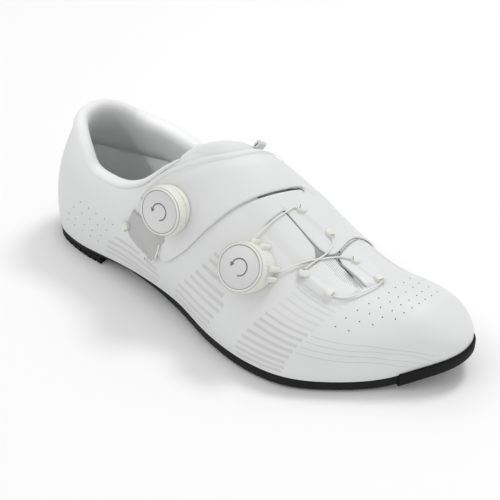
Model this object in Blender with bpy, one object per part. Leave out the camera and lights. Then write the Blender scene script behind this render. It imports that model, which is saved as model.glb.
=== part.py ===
"""Road cycling shoe for the right foot, standing empty on its sole.

X runs from heel to toe, Y to the medial side, Z up, in metres. The origin is the middle of the heel pad's
middle lug on the floor. Every form of the upper is read from one function of the last, shoe_point, and the
sole, bumper, insole and overlays read the same function or its bottom edge.
"""
import math

import bmesh
import bpy
import numpy as np

# Driving sizes of the last
LENGTH = 0.288            # heel back to toe tip along the upper
BALL_WIDTH = 0.097        # width of the bottom edge across the ball
INSTEP_HEIGHT = 0.102     # ridge of the instep above the floor, at half length
WAIST_HEIGHT = 0.012      # bottom edge of the upper above the floor, at the waist
HEEL_RADIUS = 0.0385      # length of the rounded heel end
TOE_LENGTH = 0.081        # length of the rounded toe end, seen from above
NOSE_LENGTH = 0.0315      # length of the rounded toe end, seen from the side
TOE_LIP = 0.0107          # height of the upper at the toe tip
HEEL_LEAN = 0.0105        # how far the heel's back leans forward, 100 mm up
HEEL_CURL = 0.0120        # further lean that grows with the square of the height
HEEL_BULGE = 0.0036       # swell of the heel's back at mid height
COUNTER_HEIGHT = 0.080    # height that the heel's swell spans
LEAN_REACH = 0.086        # length over which the heel's lean fades out

# Walls, layers and clearances
WALL = 0.0020             # upper
GAP = 0.0003              # clearance between pieces that touch
SEAT = 0.00050            # panels above the upper, which leaves GAP where their facets sag
TONGUE_SEAT = 0.0010      # tongue below the upper's inner face, for the same reason
OVERLAY = 0.0010          # thin panels on the upper
STRAP_WALL = 0.0017       # instep strap
TONGUE_WALL = 0.0040      # padded tongue
INSOLE_WALL = 0.0030      # insole
SOLE_EDGE = 0.0070        # visible edge of the sole plate at the ball
SOLE_FLAT = 0.0           # height of the forefoot's flat spot above the floor
LUG_DEPTH = 0.0034        # grooves between the heel pad's lugs
LUG_PITCH = 0.0046        # distance between lugs
LUG_COUNT = 10
ORIGIN_LUG = 5            # lug that the origin lies under, counted from the heel
GROOVE = 0.0018           # width of a groove at the floor
PAD_START = 0.0028        # heel pad ahead of the heel's back
PAD_INSET = 0.0007        # heel pad inside the sole plate's edge
# Origin ahead of the heel's back, in the middle of its lug's face
HEEL_OFFSET = PAD_START + (ORIGIN_LUG + 0.5) * LUG_PITCH - 0.5 * GROOVE
BUMPER_WALL = 0.0016      # toe bumper
BUMPER_RISE = 0.0012      # bumper above the upper's bottom edge
BUMPER_REACH = 0.0274     # length of the bumper, back from the toe tip
BUMPER_START = 1 - BUMPER_REACH / LENGTH  # station of its ends
BUMPER_LIP = 0.0050       # bumper's return under the sole
ROLL_WIDTH = 0.0072       # collar roll across the wall
ROLL_HEIGHT = 0.0115      # collar roll above the upper's top edge, at the heel
DIAL_RADIUS = 0.0150      # knob
DIAL_HEIGHT = 0.0075      # knob
DIAL_TOP = 0.0141         # radius of the knob's top rim
DIAL_FACE = 0.0130        # radius of the knob's sunk face
DIAL_SINK = 0.0006        # depth of the sunk face
BASE_RADIUS = 0.0146      # plate under a knob
FRONT_BASE = 0.0034       # front plate at its middle, a wedge that turns the dial to the side
REAR_BASE = 0.0018        # rear plate at its middle
EAR = 0.0030              # how far the ear round a lace's exit stands out of the plate
LACE_RADIUS = 0.00065
GUIDE_LENGTH = 0.0068
GUIDE_WIDTH = 0.0046
GUIDE_HEIGHT = 0.0024
CHAMFER = 0.0006          # broken edges of small parts
CLEAT_HOLE_RADIUS = 0.0045
CLEAT_HOLE_DEPTH = 0.0015
CLEAT_SPREAD = 0.0360     # between the two rear cleat holes
CLEAT_REACH = 0.0280      # from the rear cleat holes forward to the single one
CLEAT_X = 0.1400          # the rear cleat holes
CLEAT_Y = -0.0050         # middle of the cleat holes
CLEAT_SIDES = 16
TAB_LENGTH = 0.0090       # fabric tab behind the strap
TAB_HEIGHT = 0.0052
TAB_WALL = 0.0026

# Sections of the last. Station is a share of LENGTH. Half widths, middle, ridge side and bulges are shares of
# BALL_WIDTH, feather (the bottom edge) of WAIST_HEIGHT and ridge of INSTEP_HEIGHT. Low is how far up the side
# stays upright, as a share of the section's height, and the tops say how flat the instep is on each side.
SECTION_NAMES = ("station", "lateral", "medial", "middle", "feather", "ridge", "ridge_side",
                 "lateral_bulge", "medial_bulge", "low", "lateral_top", "medial_top")
SECTIONS = (
    (0.00, 0.322, 0.335, 0.008, 0.74, 1.280, 0.002, 0.042, 0.042, 0.46, 0.64, 0.64),
    (0.07, 0.306, 0.342, 0.036, 0.71, 1.310, 0.003, 0.042, 0.042, 0.46, 0.64, 0.64),
    (0.16, 0.312, 0.348, 0.030, 0.81, 1.325, 0.003, 0.052, 0.052, 0.46, 0.66, 0.66),
    (0.28, 0.326, 0.342, -0.002, 1.00, 1.280, 0.018, 0.072, 0.064, 0.46, 0.68, 0.67),
    (0.40, 0.362, 0.330, -0.045, 1.00, 1.180, 0.047, 0.093, 0.085, 0.46, 0.67, 0.63),
    (0.52, 0.464, 0.370, -0.074, 0.78, 1.000, 0.085, 0.083, 0.086, 0.46, 0.62, 0.41),
    (0.62, 0.536, 0.436, -0.064, 0.74, 0.787, 0.106, 0.052, 0.068, 0.49, 0.62, 0.50),
    (0.71, 0.543, 0.460, -0.044, 0.76, 0.608, 0.090, 0.042, 0.047, 0.50, 0.66, 0.55),
    (0.80, 0.481, 0.434, 0.018, 0.70, 0.516, 0.073, 0.042, 0.036, 0.50, 0.70, 0.57),
    (0.88, 0.411, 0.394, 0.080, 0.84, 0.502, 0.072, 0.042, 0.042, 0.50, 0.75, 0.70),
    (0.95, 0.350, 0.351, 0.127, 1.44, 0.452, 0.076, 0.042, 0.044, 0.50, 0.80, 0.80),
    (1.00, 0.339, 0.312, 0.131, 2.04, 0.325, 0.074, 0.031, 0.028, 0.50, 0.80, 0.80),
)

# The opening's edge: around is -1 at the lateral bottom edge, 0 on the ridge and 1 at the medial bottom edge.
OPENING_NAMES = ("station", "lateral", "medial")
OPENING = (
    (0.000, -0.515, 0.515),
    (0.030, -0.525, 0.558),
    (0.086, -0.578, 0.612),
    (0.132, -0.636, 0.624),
    (0.190, -0.650, 0.622),
    (0.266, -0.612, 0.642),
    (0.310, -0.545, 0.655),
    (0.360, -0.402, 0.650),
    (0.400, -0.268, 0.600),
    (0.430, -0.240, 0.520),
    (0.470, -0.230, 0.360),
    (0.540, -0.220, 0.140),
    (0.640, -0.210, 0.030),
    (0.700, -0.205, -0.040),
    (0.750, -0.190, -0.105),
    (0.772, -0.150, -0.150),
)
THROAT_END = OPENING[-1][0]
THROAT_AROUND = OPENING[-1][1]

# Sole plate: edge as a share of SOLE_EDGE, belly (how far the middle hangs below the edge) of WAIST_HEIGHT
SOLE_NAMES = ("station", "edge", "belly")
SOLE = (
    (0.00, 0.28, 0.00),
    (0.16, 0.28, 0.00),
    (0.25, 0.12, 0.30),
    (0.33, 0.45, 0.24),
    (0.40, 0.82, 0.12),
    (0.52, 0.92, 0.20),
    (0.62, 1.04, 0.26),
    (0.71, 1.02, 0.28),
    (0.80, 0.95, 0.14),
    (0.88, 0.95, 0.00),
    (1.00, 0.90, 0.00),
)

# Panels on the upper, each a row per section: around, rear station, front station
STRAP = (
    (-0.812, 0.360, 0.376),
    (-0.800, 0.345, 0.388),
    (-0.765, 0.318, 0.405),
    (-0.720, 0.298, 0.422),
    (-0.668, 0.290, 0.440),
    (-0.610, 0.295, 0.455),
    (-0.550, 0.311, 0.469),
    (-0.456, 0.343, 0.490),
    (-0.340, 0.388, 0.514),
    (-0.248, 0.421, 0.534),
    (-0.152, 0.454, 0.554),
    (-0.072, 0.473, 0.569),
    (0.020, 0.491, 0.583),
    (0.150, 0.505, 0.598),
    (0.350, 0.508, 0.603),
    (0.600, 0.492, 0.590),
    (0.820, 0.474, 0.572),
    (0.950, 0.462, 0.560),
)
MEDIAL_FLAP = (
    (-0.362, None, 0.5690),
    (-0.300, None, 0.5751),
    (-0.240, None, 0.5812),
    (-0.200, None, 0.5853),
    (-0.166, None, 0.5898),
    (-0.158, None, 0.5920),
    (-0.156, None, 0.6520),
    (-0.148, None, 0.6770),
    (-0.125, None, 0.6950),
    (-0.090, None, 0.7035),
    (-0.040, None, 0.7050),
    (0.050, None, 0.7040),
    (0.140, None, 0.7050),
    (0.250, None, 0.7110),
    (0.500, None, 0.7240),
    (0.800, None, 0.7350),
    (0.950, None, 0.7400),
)
LATERAL_OVERLAY = (
    (-0.345, 0.573, 0.652),
    (-0.270, 0.581, 0.668),
    (-0.205, 0.588, 0.680),
    (-0.166, 0.594, 0.668),
)
# Grey plate beside the rear dial, on the quarter behind the strap's tip
BRACKET = (
    (-0.840, 0.300, 0.345),
    (-0.812, 0.275, 0.346),
    (-0.780, 0.267, 0.320),
    (-0.740, 0.272, 0.300),
    (-0.700, 0.280, 0.288),
)
# The front panels run along the shoe, so theirs are: station, lateral around, medial around
VAMP_OVERLAY = (
    (0.680, -0.365, -0.290),
    (0.686, -0.370, -0.215),
    (0.694, -0.372, -0.150),
    (0.706, -0.372, -0.112),
    (0.728, -0.370, -0.124),
    (0.745, -0.366, -0.124),
    (0.762, -0.350, -0.126),
    (0.778, -0.300, -0.142),
    (0.788, -0.250, -0.165),
)
MEDIAL_OVERLAY = (
    (0.712, -0.092, 0.110),
    (0.728, -0.109, 0.130),
    (0.745, -0.109, 0.130),
    (0.765, -0.112, 0.120),
    (0.785, -0.125, 0.100),
    (0.803, -0.110, 0.070),
    (0.813, -0.070, 0.020),
)
TONGUE = (
    (-0.400, 0.430, 0.560),
    (-0.370, 0.382, 0.600),
    (-0.345, 0.368, 0.640),
    (-0.291, 0.378, 0.700),
    (-0.218, 0.394, 0.775),
    (-0.172, 0.408, 0.782),
    (-0.128, 0.420, 0.786),
    (-0.076, 0.433, 0.790),
    (-0.004, 0.453, 0.785),
    (0.050, 0.463, 0.775),
    (0.104, 0.471, 0.750),
    (0.160, 0.474, 0.710),
    (0.220, 0.482, 0.660),
    (0.280, 0.500, 0.600),
)

# Where the small parts sit on the last: name, station, around, turn in degrees
GUIDES = (
    ("lace_guide_a", 0.610, -0.080, 40.0),
    ("lace_guide_b", 0.672, -0.036, 30.0),
    ("lace_guide_c", 0.678, -0.316, 35.0),
    ("lace_guide_d", 0.738, -0.304, 25.0),
    ("lace_guide_e", 0.800, -0.036, 20.0),
    ("lace_guide_f", 0.738, -0.036, 15.0),
    ("rear_guide_1", 0.266, -0.776, 60.0),
    ("rear_guide_2", 0.324, -0.846, 20.0),
)
FRONT_DIAL = (0.582, -0.507)
FRONT_DIAL_AXIS = (0.0, -0.81, 0.58)
REAR_DIAL = (0.386, -0.558)
FRONT_EARS = (30.0, 105.0)
REAR_EARS = (200.0, 250.0)
LOOP_TAB = (0.480, 0.150, 75.0)

# Laces, each a row per point: station, around, height above the last
ON_PANEL = SEAT + OVERLAY + GAP + LACE_RADIUS
ON_STRAP = 2 * SEAT + STRAP_WALL + GAP + LACE_RADIUS
LACE_TOP = (
    (0.574, -0.352, ON_PANEL),
    (0.581, -0.280, ON_PANEL),
    (0.589, -0.205, ON_PANEL),
    (0.594, -0.160, ON_PANEL),
    (0.598, -0.128, ON_PANEL),
)
LACE_CROSS = (
    (0.687, -0.064, ON_PANEL),
    (0.690, -0.104, ON_PANEL),
    (0.690, -0.144, ON_PANEL),
    (0.686, -0.192, ON_PANEL),
    (0.680, -0.248, ON_PANEL),
    (0.677, -0.276, ON_PANEL),
)
LACE_BACK = (
    (0.723, -0.068, ON_PANEL),
    (0.712, -0.096, ON_PANEL),
    (0.686, -0.196, ON_PANEL),
    (0.676, -0.236, ON_PANEL),
    (0.662, -0.300, ON_PANEL),
    (0.648, -0.368, ON_PANEL),
    (0.642, -0.400, ON_PANEL),
)
LACE_FRONT = (
    (0.752, -0.300, ON_PANEL),
    (0.764, -0.280, ON_PANEL),
    (0.778, -0.240, ON_PANEL),
    (0.790, -0.180, ON_PANEL),
    (0.800, -0.120, ON_PANEL),
    (0.805, -0.078, ON_PANEL),
)
LACE_REAR = (
    (0.372, -0.755, ON_STRAP),
    (0.366, -0.795, ON_STRAP),
    (0.358, -0.828, ON_PANEL),
    (0.346, -0.850, ON_PANEL),
)

# Collar roll: its height on each side as a share of ROLL_HEIGHT
ROLL_NAMES = ("station", "lateral", "medial")
ROLL = (
    (0.00, 1.00, 1.00),
    (0.08, 0.66, 1.00),
    (0.16, 0.42, 0.66),
    (0.30, 0.34, 0.60),
    (0.36, 0.30, 0.46),
    (0.43, 0.26, 0.26),
)
ROLL_END = 0.345          # station where the roll ends on the lateral side; medially it runs to the table's end


def smooth_table(names, rows, column, at):
    """Values of one column of a table, on a smooth curve through its rows."""
    stations = np.array([row[0] for row in rows])
    values = np.array([row[names.index(column)] for row in rows])
    steps = np.diff(stations)
    slopes = np.diff(values) / steps
    tangents = np.empty_like(values)
    tangents[0] = slopes[0]
    tangents[-1] = slopes[-1]
    tangents[1:-1] = (steps[:-1] * slopes[1:] + steps[1:] * slopes[:-1]) / (steps[:-1] + steps[1:])
    at = np.asarray(at, float)
    row = np.clip(np.searchsorted(stations, at) - 1, 0, len(steps) - 1)
    step = steps[row]
    u = (at - stations[row]) / step
    return (values[row] * (1 + 2 * u) * (1 - u) ** 2 + tangents[row] * step * u * (1 - u) ** 2
            + values[row + 1] * u * u * (3 - 2 * u) + tangents[row + 1] * step * u * u * (u - 1))


def section(column, station):
    return smooth_table(SECTION_NAMES, SECTIONS, column, station)


def rounded(share, power):
    """A rounded end: 0 at share 1, 1 at share 0, as a superellipse."""
    return (1 - np.clip(share, 0, 1) ** power) ** (1 / power)


def end_width(station):
    """How much of the width is left towards the rounded heel and toe."""
    heel = rounded(1 - station * LENGTH / HEEL_RADIUS, 2.0)
    toe = rounded(1 - (1 - station) * LENGTH / TOE_LENGTH, 2.25)
    return heel * toe


def shoe_point(station, around):
    """Outer surface of the upper, unbroken: around runs -1 lateral edge, 0 ridge, 1 medial edge."""
    station, around = np.broadcast_arrays(np.asarray(station, float), np.asarray(around, float))
    lateral = around < 0
    side = np.where(lateral, -1.0, 1.0)
    left = end_width(station)
    half = np.where(lateral, section("lateral", station), section("medial", station)) * BALL_WIDTH * left
    bulge = np.where(lateral, section("lateral_bulge", station), section("medial_bulge", station))
    bulge = bulge * BALL_WIDTH * np.sqrt(left)
    top = np.where(lateral, section("lateral_top", station), section("medial_top", station))
    middle = section("middle", station) * BALL_WIDTH
    ridge_y = middle + (section("ridge_side", station) * BALL_WIDTH - middle) * left
    low_z = section("feather", station) * WAIST_HEIGHT
    nose = rounded(1 - (1 - station) * LENGTH / NOSE_LENGTH, 2.2)
    ridge_z = low_z + TOE_LIP + (section("ridge", station) * INSTEP_HEIGHT - low_z - TOE_LIP) * nose
    height = ridge_z - low_z
    v = 1 - np.abs(around)
    edge_y = middle + side * half
    weights = ((1 - v) ** 3, 3 * v * (1 - v) ** 2, 3 * v * v * (1 - v), v ** 3)
    ys = (edge_y, edge_y + side * 1.6 * bulge, ridge_y + side * top * (half + bulge), ridge_y)
    zs = (low_z, low_z + section("low", station) * height, ridge_z, ridge_z)
    y = sum(w * q for w, q in zip(weights, ys))
    z = sum(w * q for w, q in zip(weights, zs))
    rise = z - low_z
    fade = np.clip(1 - station * LENGTH / LEAN_REACH, 0, 1) ** 1.5
    lean = HEEL_LEAN * (rise / 0.1) + HEEL_CURL * (rise / 0.1) ** 2
    lean = lean - HEEL_BULGE * np.sin(np.pi * np.clip(rise / COUNTER_HEIGHT, 0, 1))
    x = station * LENGTH - HEEL_OFFSET + fade * lean
    return np.stack([x, y, z], -1)


def shoe_normal(station, around):
    """Outward unit normal of shoe_point."""
    station, around = np.broadcast_arrays(np.asarray(station, float), np.asarray(around, float))
    ds = 0.0015
    da = 0.004
    along = shoe_point(np.minimum(station + ds, 1), around) - shoe_point(np.maximum(station - ds, 0), around)
    low = shoe_point(station, np.maximum(around - da, -1))
    across = shoe_point(station, np.minimum(around + da, 1)) - low
    normal = np.cross(along, across)
    at_end = (station <= 0) | (station >= 1)
    normal[..., 1] = np.where(at_end, 0, normal[..., 1])
    normal = normal / np.maximum(np.linalg.norm(normal, axis=-1, keepdims=True), 1e-12)
    return normal


def shoe_offset(station, around, distance):
    """A point of the last's surface moved outward by distance."""
    return shoe_point(station, around) + shoe_normal(station, around) * np.asarray(distance)[..., None]


def stations_between(count_heel, count_middle, count_toe):
    """Stations close together where the heel and toe turn."""
    heel = HEEL_RADIUS / LENGTH
    toe = TOE_LENGTH / LENGTH
    first = [heel * (1 - math.cos(0.5 * math.pi * i / count_heel)) for i in range(count_heel)]
    middle = [heel + (1 - heel - toe) * i / count_middle for i in range(count_middle)]
    last = [1 - toe * (1 - math.sin(0.5 * math.pi * i / count_toe)) for i in range(count_toe + 1)]
    return first + middle + last


def make_object(name, material, verts, faces, smooth_angle=40.0):
    """One closed mesh object with outward faces, welded where its strips meet."""
    mesh = bpy.data.meshes.new(name)
    work = bmesh.new()
    made = [work.verts.new(v) for v in verts]
    for face in faces:
        corners = []
        for i in face:
            if made[i] not in corners:
                corners.append(made[i])
        if len(corners) > 2:
            work.faces.new(corners)
    bmesh.ops.remove_doubles(work, verts=work.verts, dist=2e-6)
    bmesh.ops.dissolve_degenerate(work, edges=work.edges, dist=1e-6)
    loose = [v for v in work.verts if not v.link_faces]
    bmesh.ops.delete(work, geom=loose, context="VERTS")
    bmesh.ops.recalc_face_normals(work, faces=work.faces)
    if work.calc_volume(signed=True) < 0:
        bmesh.ops.reverse_faces(work, faces=work.faces)
    work.to_mesh(mesh)
    work.free()
    mesh.shade_smooth()
    mesh.set_sharp_from_angle(angle=math.radians(smooth_angle))
    mesh.materials.append(material)
    obj = bpy.data.objects.new(name, mesh)
    bpy.context.scene.collection.objects.link(obj)
    return obj


def make_material(name, colour, roughness):
    material = bpy.data.materials.new(name)
    material.use_nodes = True
    shader = material.node_tree.nodes["Principled BSDF"]
    shader.inputs["Base Color"].default_value = (*colour, 1)
    shader.inputs["Roughness"].default_value = roughness
    material.diffuse_color = (*colour, 1)
    return material


def add_grid(verts, faces, grid, close_rows=False):
    """Append a grid of points (rows, columns, 3) and its quads; returns the index array."""
    rows, columns = grid.shape[:2]
    index = len(verts) + np.arange(rows * columns).reshape(rows, columns)
    verts.extend(map(tuple, grid.reshape(-1, 3)))
    last = rows if close_rows else rows - 1
    for i in range(last):
        k = (i + 1) % rows
        for j in range(columns - 1):
            faces.append((index[i, j], index[k, j], index[k, j + 1], index[i, j + 1]))
    return index


def join_edges(faces, first, second):
    """Quads between two equally long runs of points."""
    for i in range(len(first) - 1):
        faces.append((first[i], first[i + 1], second[i + 1], second[i]))


def slab(name, material, outer, inner):
    """A closed sheet between two grids of equal size."""
    verts, faces = [], []
    a = add_grid(verts, faces, outer)
    b = add_grid(verts, faces, inner)
    for one, two in ((a[0], b[0]), (a[-1], b[-1]), (a[:, 0], b[:, 0]), (a[:, -1], b[:, -1])):
        join_edges(faces, one, two)
    return make_object(name, material, verts, faces)


def steady_table(rows, column, at):
    """Values of one column of a panel's table, on a curve that never overshoots its rows."""
    places = np.array([row[0] for row in rows])
    values = np.array([row[column] for row in rows])
    steps = np.diff(places)
    slopes = np.diff(values) / steps
    tangents = np.zeros_like(values)
    same = slopes[:-1] * slopes[1:] > 0
    both = np.where(same, slopes[:-1] + slopes[1:], 1.0)
    tangents[1:-1] = np.where(same, 2 * slopes[:-1] * slopes[1:] / both, 0.0)
    tangents[0] = slopes[0]
    tangents[-1] = slopes[-1]
    row = np.clip(np.searchsorted(places, at) - 1, 0, len(steps) - 1)
    step = steps[row]
    u = (at - places[row]) / step
    return (values[row] * (1 + 2 * u) * (1 - u) ** 2 + tangents[row] * step * u * (1 - u) ** 2
            + values[row + 1] * u * u * (3 - 2 * u) + tangents[row + 1] * step * u * u * (u - 1))


def spread_rows(rows, most):
    """The first column of a panel's table, with wide steps split so that none is more than most."""
    places = [rows[0][0]]
    for start, end in zip(rows[:-1], rows[1:]):
        count = math.ceil((end[0] - start[0]) / most)
        places += [start[0] + (end[0] - start[0]) * (i + 1) / count for i in range(count)]
    return np.array(places)


def cross_panel(name, material, rows, low, high, most, along_count):
    """A panel whose rows run around the shoe: around, rear station, front station."""
    around = spread_rows(rows, most)
    rear = steady_table(rows, 1, around)
    front = steady_table(rows, 2, around)
    share = np.linspace(0, 1, along_count)
    station = rear[:, None] + (front - rear)[:, None] * share
    around = around[:, None] + 0 * share
    return slab(name, material, shoe_offset(station, around, np.full(station.shape, high)),
                shoe_offset(station, around, np.full(station.shape, low)))


def long_panel(name, material, rows, low, high, most, across_count):
    """A panel whose rows run along the shoe: station, lateral around, medial around."""
    station = spread_rows(rows, most)
    lateral = steady_table(rows, 1, station)
    medial = steady_table(rows, 2, station)
    share = np.linspace(0, 1, across_count)
    around = lateral[:, None] + (medial - lateral)[:, None] * share
    station = station[:, None] + 0 * share
    return slab(name, material, shoe_offset(station, around, np.full(station.shape, high)),
                shoe_offset(station, around, np.full(station.shape, low)))


def behind_strap(rows, clearance):
    """Fill in the rear stations of a panel that starts at the strap's front edge."""
    filled = []
    for around, _, front in rows:
        rear = float(steady_table(STRAP, 2, around)) + clearance / LENGTH
        filled.append((around, rear, front))
    return tuple(filled)


def opening_edges(station):
    """Around values of the opening's lateral and medial edge, meeting beyond the throat."""
    inside = np.minimum(station, THROAT_END)
    lateral = smooth_table(OPENING_NAMES, OPENING, "lateral", inside)
    medial = smooth_table(OPENING_NAMES, OPENING, "medial", inside)
    meet = THROAT_AROUND * (1 - station) / (1 - THROAT_END)
    lateral = np.where(station >= THROAT_END, meet, np.minimum(lateral, medial))
    medial = np.where(station >= THROAT_END, meet, medial)
    return lateral, medial


def build_upper(material):
    """One hollow wall, open at collar, throat and underneath."""
    spread = stations_between(6, 26, 9)
    near_end = [THROAT_END - 0.016, THROAT_END - 0.007, THROAT_END - 0.002, THROAT_END]
    station = np.array(sorted([s for s in spread if abs(s - THROAT_END + 0.007) > 0.016] + near_end))
    lateral, medial = opening_edges(station)
    share = np.linspace(0, 1, 11)
    verts, faces = [], []
    for edge, top in ((-1.0, lateral), (1.0, medial)):
        around = edge + (top - edge)[:, None] * share
        stations = station[:, None] + 0 * share
        outer = add_grid(verts, faces, shoe_point(stations, around))
        inner = add_grid(verts, faces, shoe_offset(stations, around, np.full(around.shape, -WALL)))
        join_edges(faces, outer[:, 0], inner[:, 0])
        opened = int(np.sum(station <= THROAT_END))
        join_edges(faces, outer[:opened, -1], inner[:opened, -1])
    return make_object("upper", material, verts, faces)


def build_outsole(material):
    """Sole plate with arch, toe spring, thin waist and a flat forefoot."""
    station = np.array(stations_between(6, 22, 8))
    rim_low = 0.0010
    shares = np.array([1.0, 0.75, 0.40, 0.0])
    top_shares = np.array([0.0, 0.75, 1.0])
    edge = smooth_table(SOLE_NAMES, SOLE, "edge", station) * SOLE_EDGE
    belly = smooth_table(SOLE_NAMES, SOLE, "belly", station) * WAIST_HEIGHT
    verts, faces = [], []
    lateral = shoe_point(station, -1.0)
    medial = shoe_point(station, 1.0)
    middle = 0.5 * (lateral + medial)
    top_z = section("feather", station) * WAIST_HEIGHT - GAP
    for side in (lateral, medial):
        rings = []
        for share in top_shares:
            ring = middle + (side - middle) * share
            ring[:, 2] = top_z
            rings.append(ring)
        inset = middle + (side - middle) * (1 - rim_low / (0.4 * BALL_WIDTH))
        brow = side.copy()
        brow[:, 2] = top_z - edge * 0.65
        rings.append(brow)
        for share in shares:
            ring = middle + (inset - middle) * share
            drop = edge + belly * (1 - share ** 4)
            ring[:, 2] = np.maximum(top_z - drop, SOLE_FLAT)
            rings.append(ring)
        add_grid(verts, faces, np.stack(rings, 1))
    return make_object("outsole", material, verts, faces, 30.0)


def build_insole(material):
    """Footbed on the sole plate, inside the upper's wall, with a shallow cup."""
    station = np.array(stations_between(5, 14, 6))
    inset = WALL + 4 * GAP
    lateral = shoe_point(station, -1.0)
    medial = shoe_point(station, 1.0)
    middle = 0.5 * (lateral + medial)
    half = 0.5 * np.linalg.norm((medial - lateral)[:, :2], axis=1)
    shrink = np.maximum(half - inset, 0) / np.maximum(half, 1e-9)
    x_middle = 0.5 * LENGTH - HEEL_OFFSET
    x_scale = (0.5 * LENGTH - inset) / (0.5 * LENGTH)
    low_z = section("feather", station) * WAIST_HEIGHT
    verts, faces = [], []
    shares = np.array([0.0, 0.7, 1.0])
    for side in (lateral, medial):
        rings = []
        for share in shares:
            ring = middle + (side - middle) * (shrink * share)[:, None]
            ring[:, 2] = low_z
            rings.append(ring)
        for share in shares[::-1]:
            ring = middle + (side - middle) * (shrink * share)[:, None]
            ring[:, 2] = low_z + INSOLE_WALL * (1 + 0.6 * share ** 4 * end_width(station))
            rings.append(ring)
        grid = np.stack(rings, 1)
        grid[..., 0] = x_middle + (grid[..., 0] - x_middle) * x_scale
        add_grid(verts, faces, grid)
    return make_object("insole", material, verts, faces, 30.0)


def build_collar(material):
    """Padded roll standing on the upper's top edge, from throat to throat round the heel."""
    spread = stations_between(6, 22, 9)
    sides = [[s for s in spread if s < last - 0.012] + [last] for last in (ROLL_END, ROLL[-1][0])]
    station = np.array(sides[0][::-1] + sides[1][1:])
    lateral, medial = opening_edges(station)
    on_lateral = np.arange(len(station)) < len(sides[0])
    around = np.where(on_lateral, lateral, medial)
    rim = shoe_point(station, around)
    normal = shoe_normal(station, around)
    tangent = np.gradient(rim, axis=0)
    tangent /= np.linalg.norm(tangent, axis=1, keepdims=True)
    up = np.cross(normal, tangent)
    up *= np.sign(up[:, 2:3])
    up /= np.linalg.norm(up, axis=1, keepdims=True)
    height = ROLL_HEIGHT * np.where(on_lateral, smooth_table(ROLL_NAMES, ROLL, "lateral", station),
                                    smooth_table(ROLL_NAMES, ROLL, "medial", station))
    centre = rim + up * (0.5 * height + GAP)[:, None] - normal * (0.5 * ROLL_WIDTH + GAP)
    turn = np.arange(10) * 2 * math.pi / 10
    wide = np.sign(np.cos(turn)) * np.abs(np.cos(turn)) ** 0.8 * 0.5 * ROLL_WIDTH
    tall = np.sign(np.sin(turn)) * np.abs(np.sin(turn)) ** 0.8 * 0.5
    tall = height[:, None] * tall
    rings = centre[:, None] + normal[:, None] * wide[None, :, None] + up[:, None] * tall[:, :, None]
    closed = np.concatenate([rings, rings[:, :1]], 1)
    verts, faces = [], []
    index = add_grid(verts, faces, closed)
    faces.append(tuple(index[0, :-1]))
    faces.append(tuple(index[-1, :-1]))
    return make_object("collar", material, verts, faces, 60.0)


def build_heel_pad(material):
    """Rubber wedge under the heel, its lower face cut into lugs by cross grooves."""
    length = LUG_COUNT * LUG_PITCH
    back = -HEEL_OFFSET + PAD_START
    xs = []
    for i in range(LUG_COUNT):
        start = back + i * LUG_PITCH
        end = start + LUG_PITCH - GROOVE
        xs += [(start, 0.0), (end, 0.0), (end + 0.5 * GROOVE, LUG_DEPTH)]
    xs = xs[:-1]
    rings = []
    for x, z in xs:
        station = (x + HEEL_OFFSET) / LENGTH
        lateral = shoe_point(station, -1.0)
        medial = shoe_point(station, 1.0)
        middle = 0.5 * (lateral[1] + medial[1])
        half = 0.5 * (medial[1] - lateral[1]) - PAD_INSET
        edge = float(smooth_table(SOLE_NAMES, SOLE, "edge", station)) * SOLE_EDGE
        belly = float(smooth_table(SOLE_NAMES, SOLE, "belly", station)) * WAIST_HEIGHT
        top = float(section("feather", station)) * WAIST_HEIGHT - edge - belly - 4 * GAP
        chamfer = 0.0012
        low_side, high_side = middle - half, middle + half
        rings.append([(x, low_side, top), (x, low_side, z + chamfer), (x, low_side + chamfer, z),
                      (x, middle, z), (x, high_side - chamfer, z), (x, high_side, z + chamfer),
                      (x, high_side, top), (x, middle, top), (x, low_side, top)])
    grid = np.array(rings)
    verts, faces = [], []
    index = add_grid(verts, faces, grid)
    faces.append(tuple(index[0, :-1]))
    faces.append(tuple(index[-1, :-1]))
    return make_object("heel_pad", material, verts, faces, 30.0)


def sole_underside(x):
    """Height of the sole plate's lower edge at a place along the shoe."""
    station = np.clip((x + HEEL_OFFSET) / LENGTH, 0, 1)
    edge = smooth_table(SOLE_NAMES, SOLE, "edge", station) * SOLE_EDGE
    return section("feather", station) * WAIST_HEIGHT - GAP - edge


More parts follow.
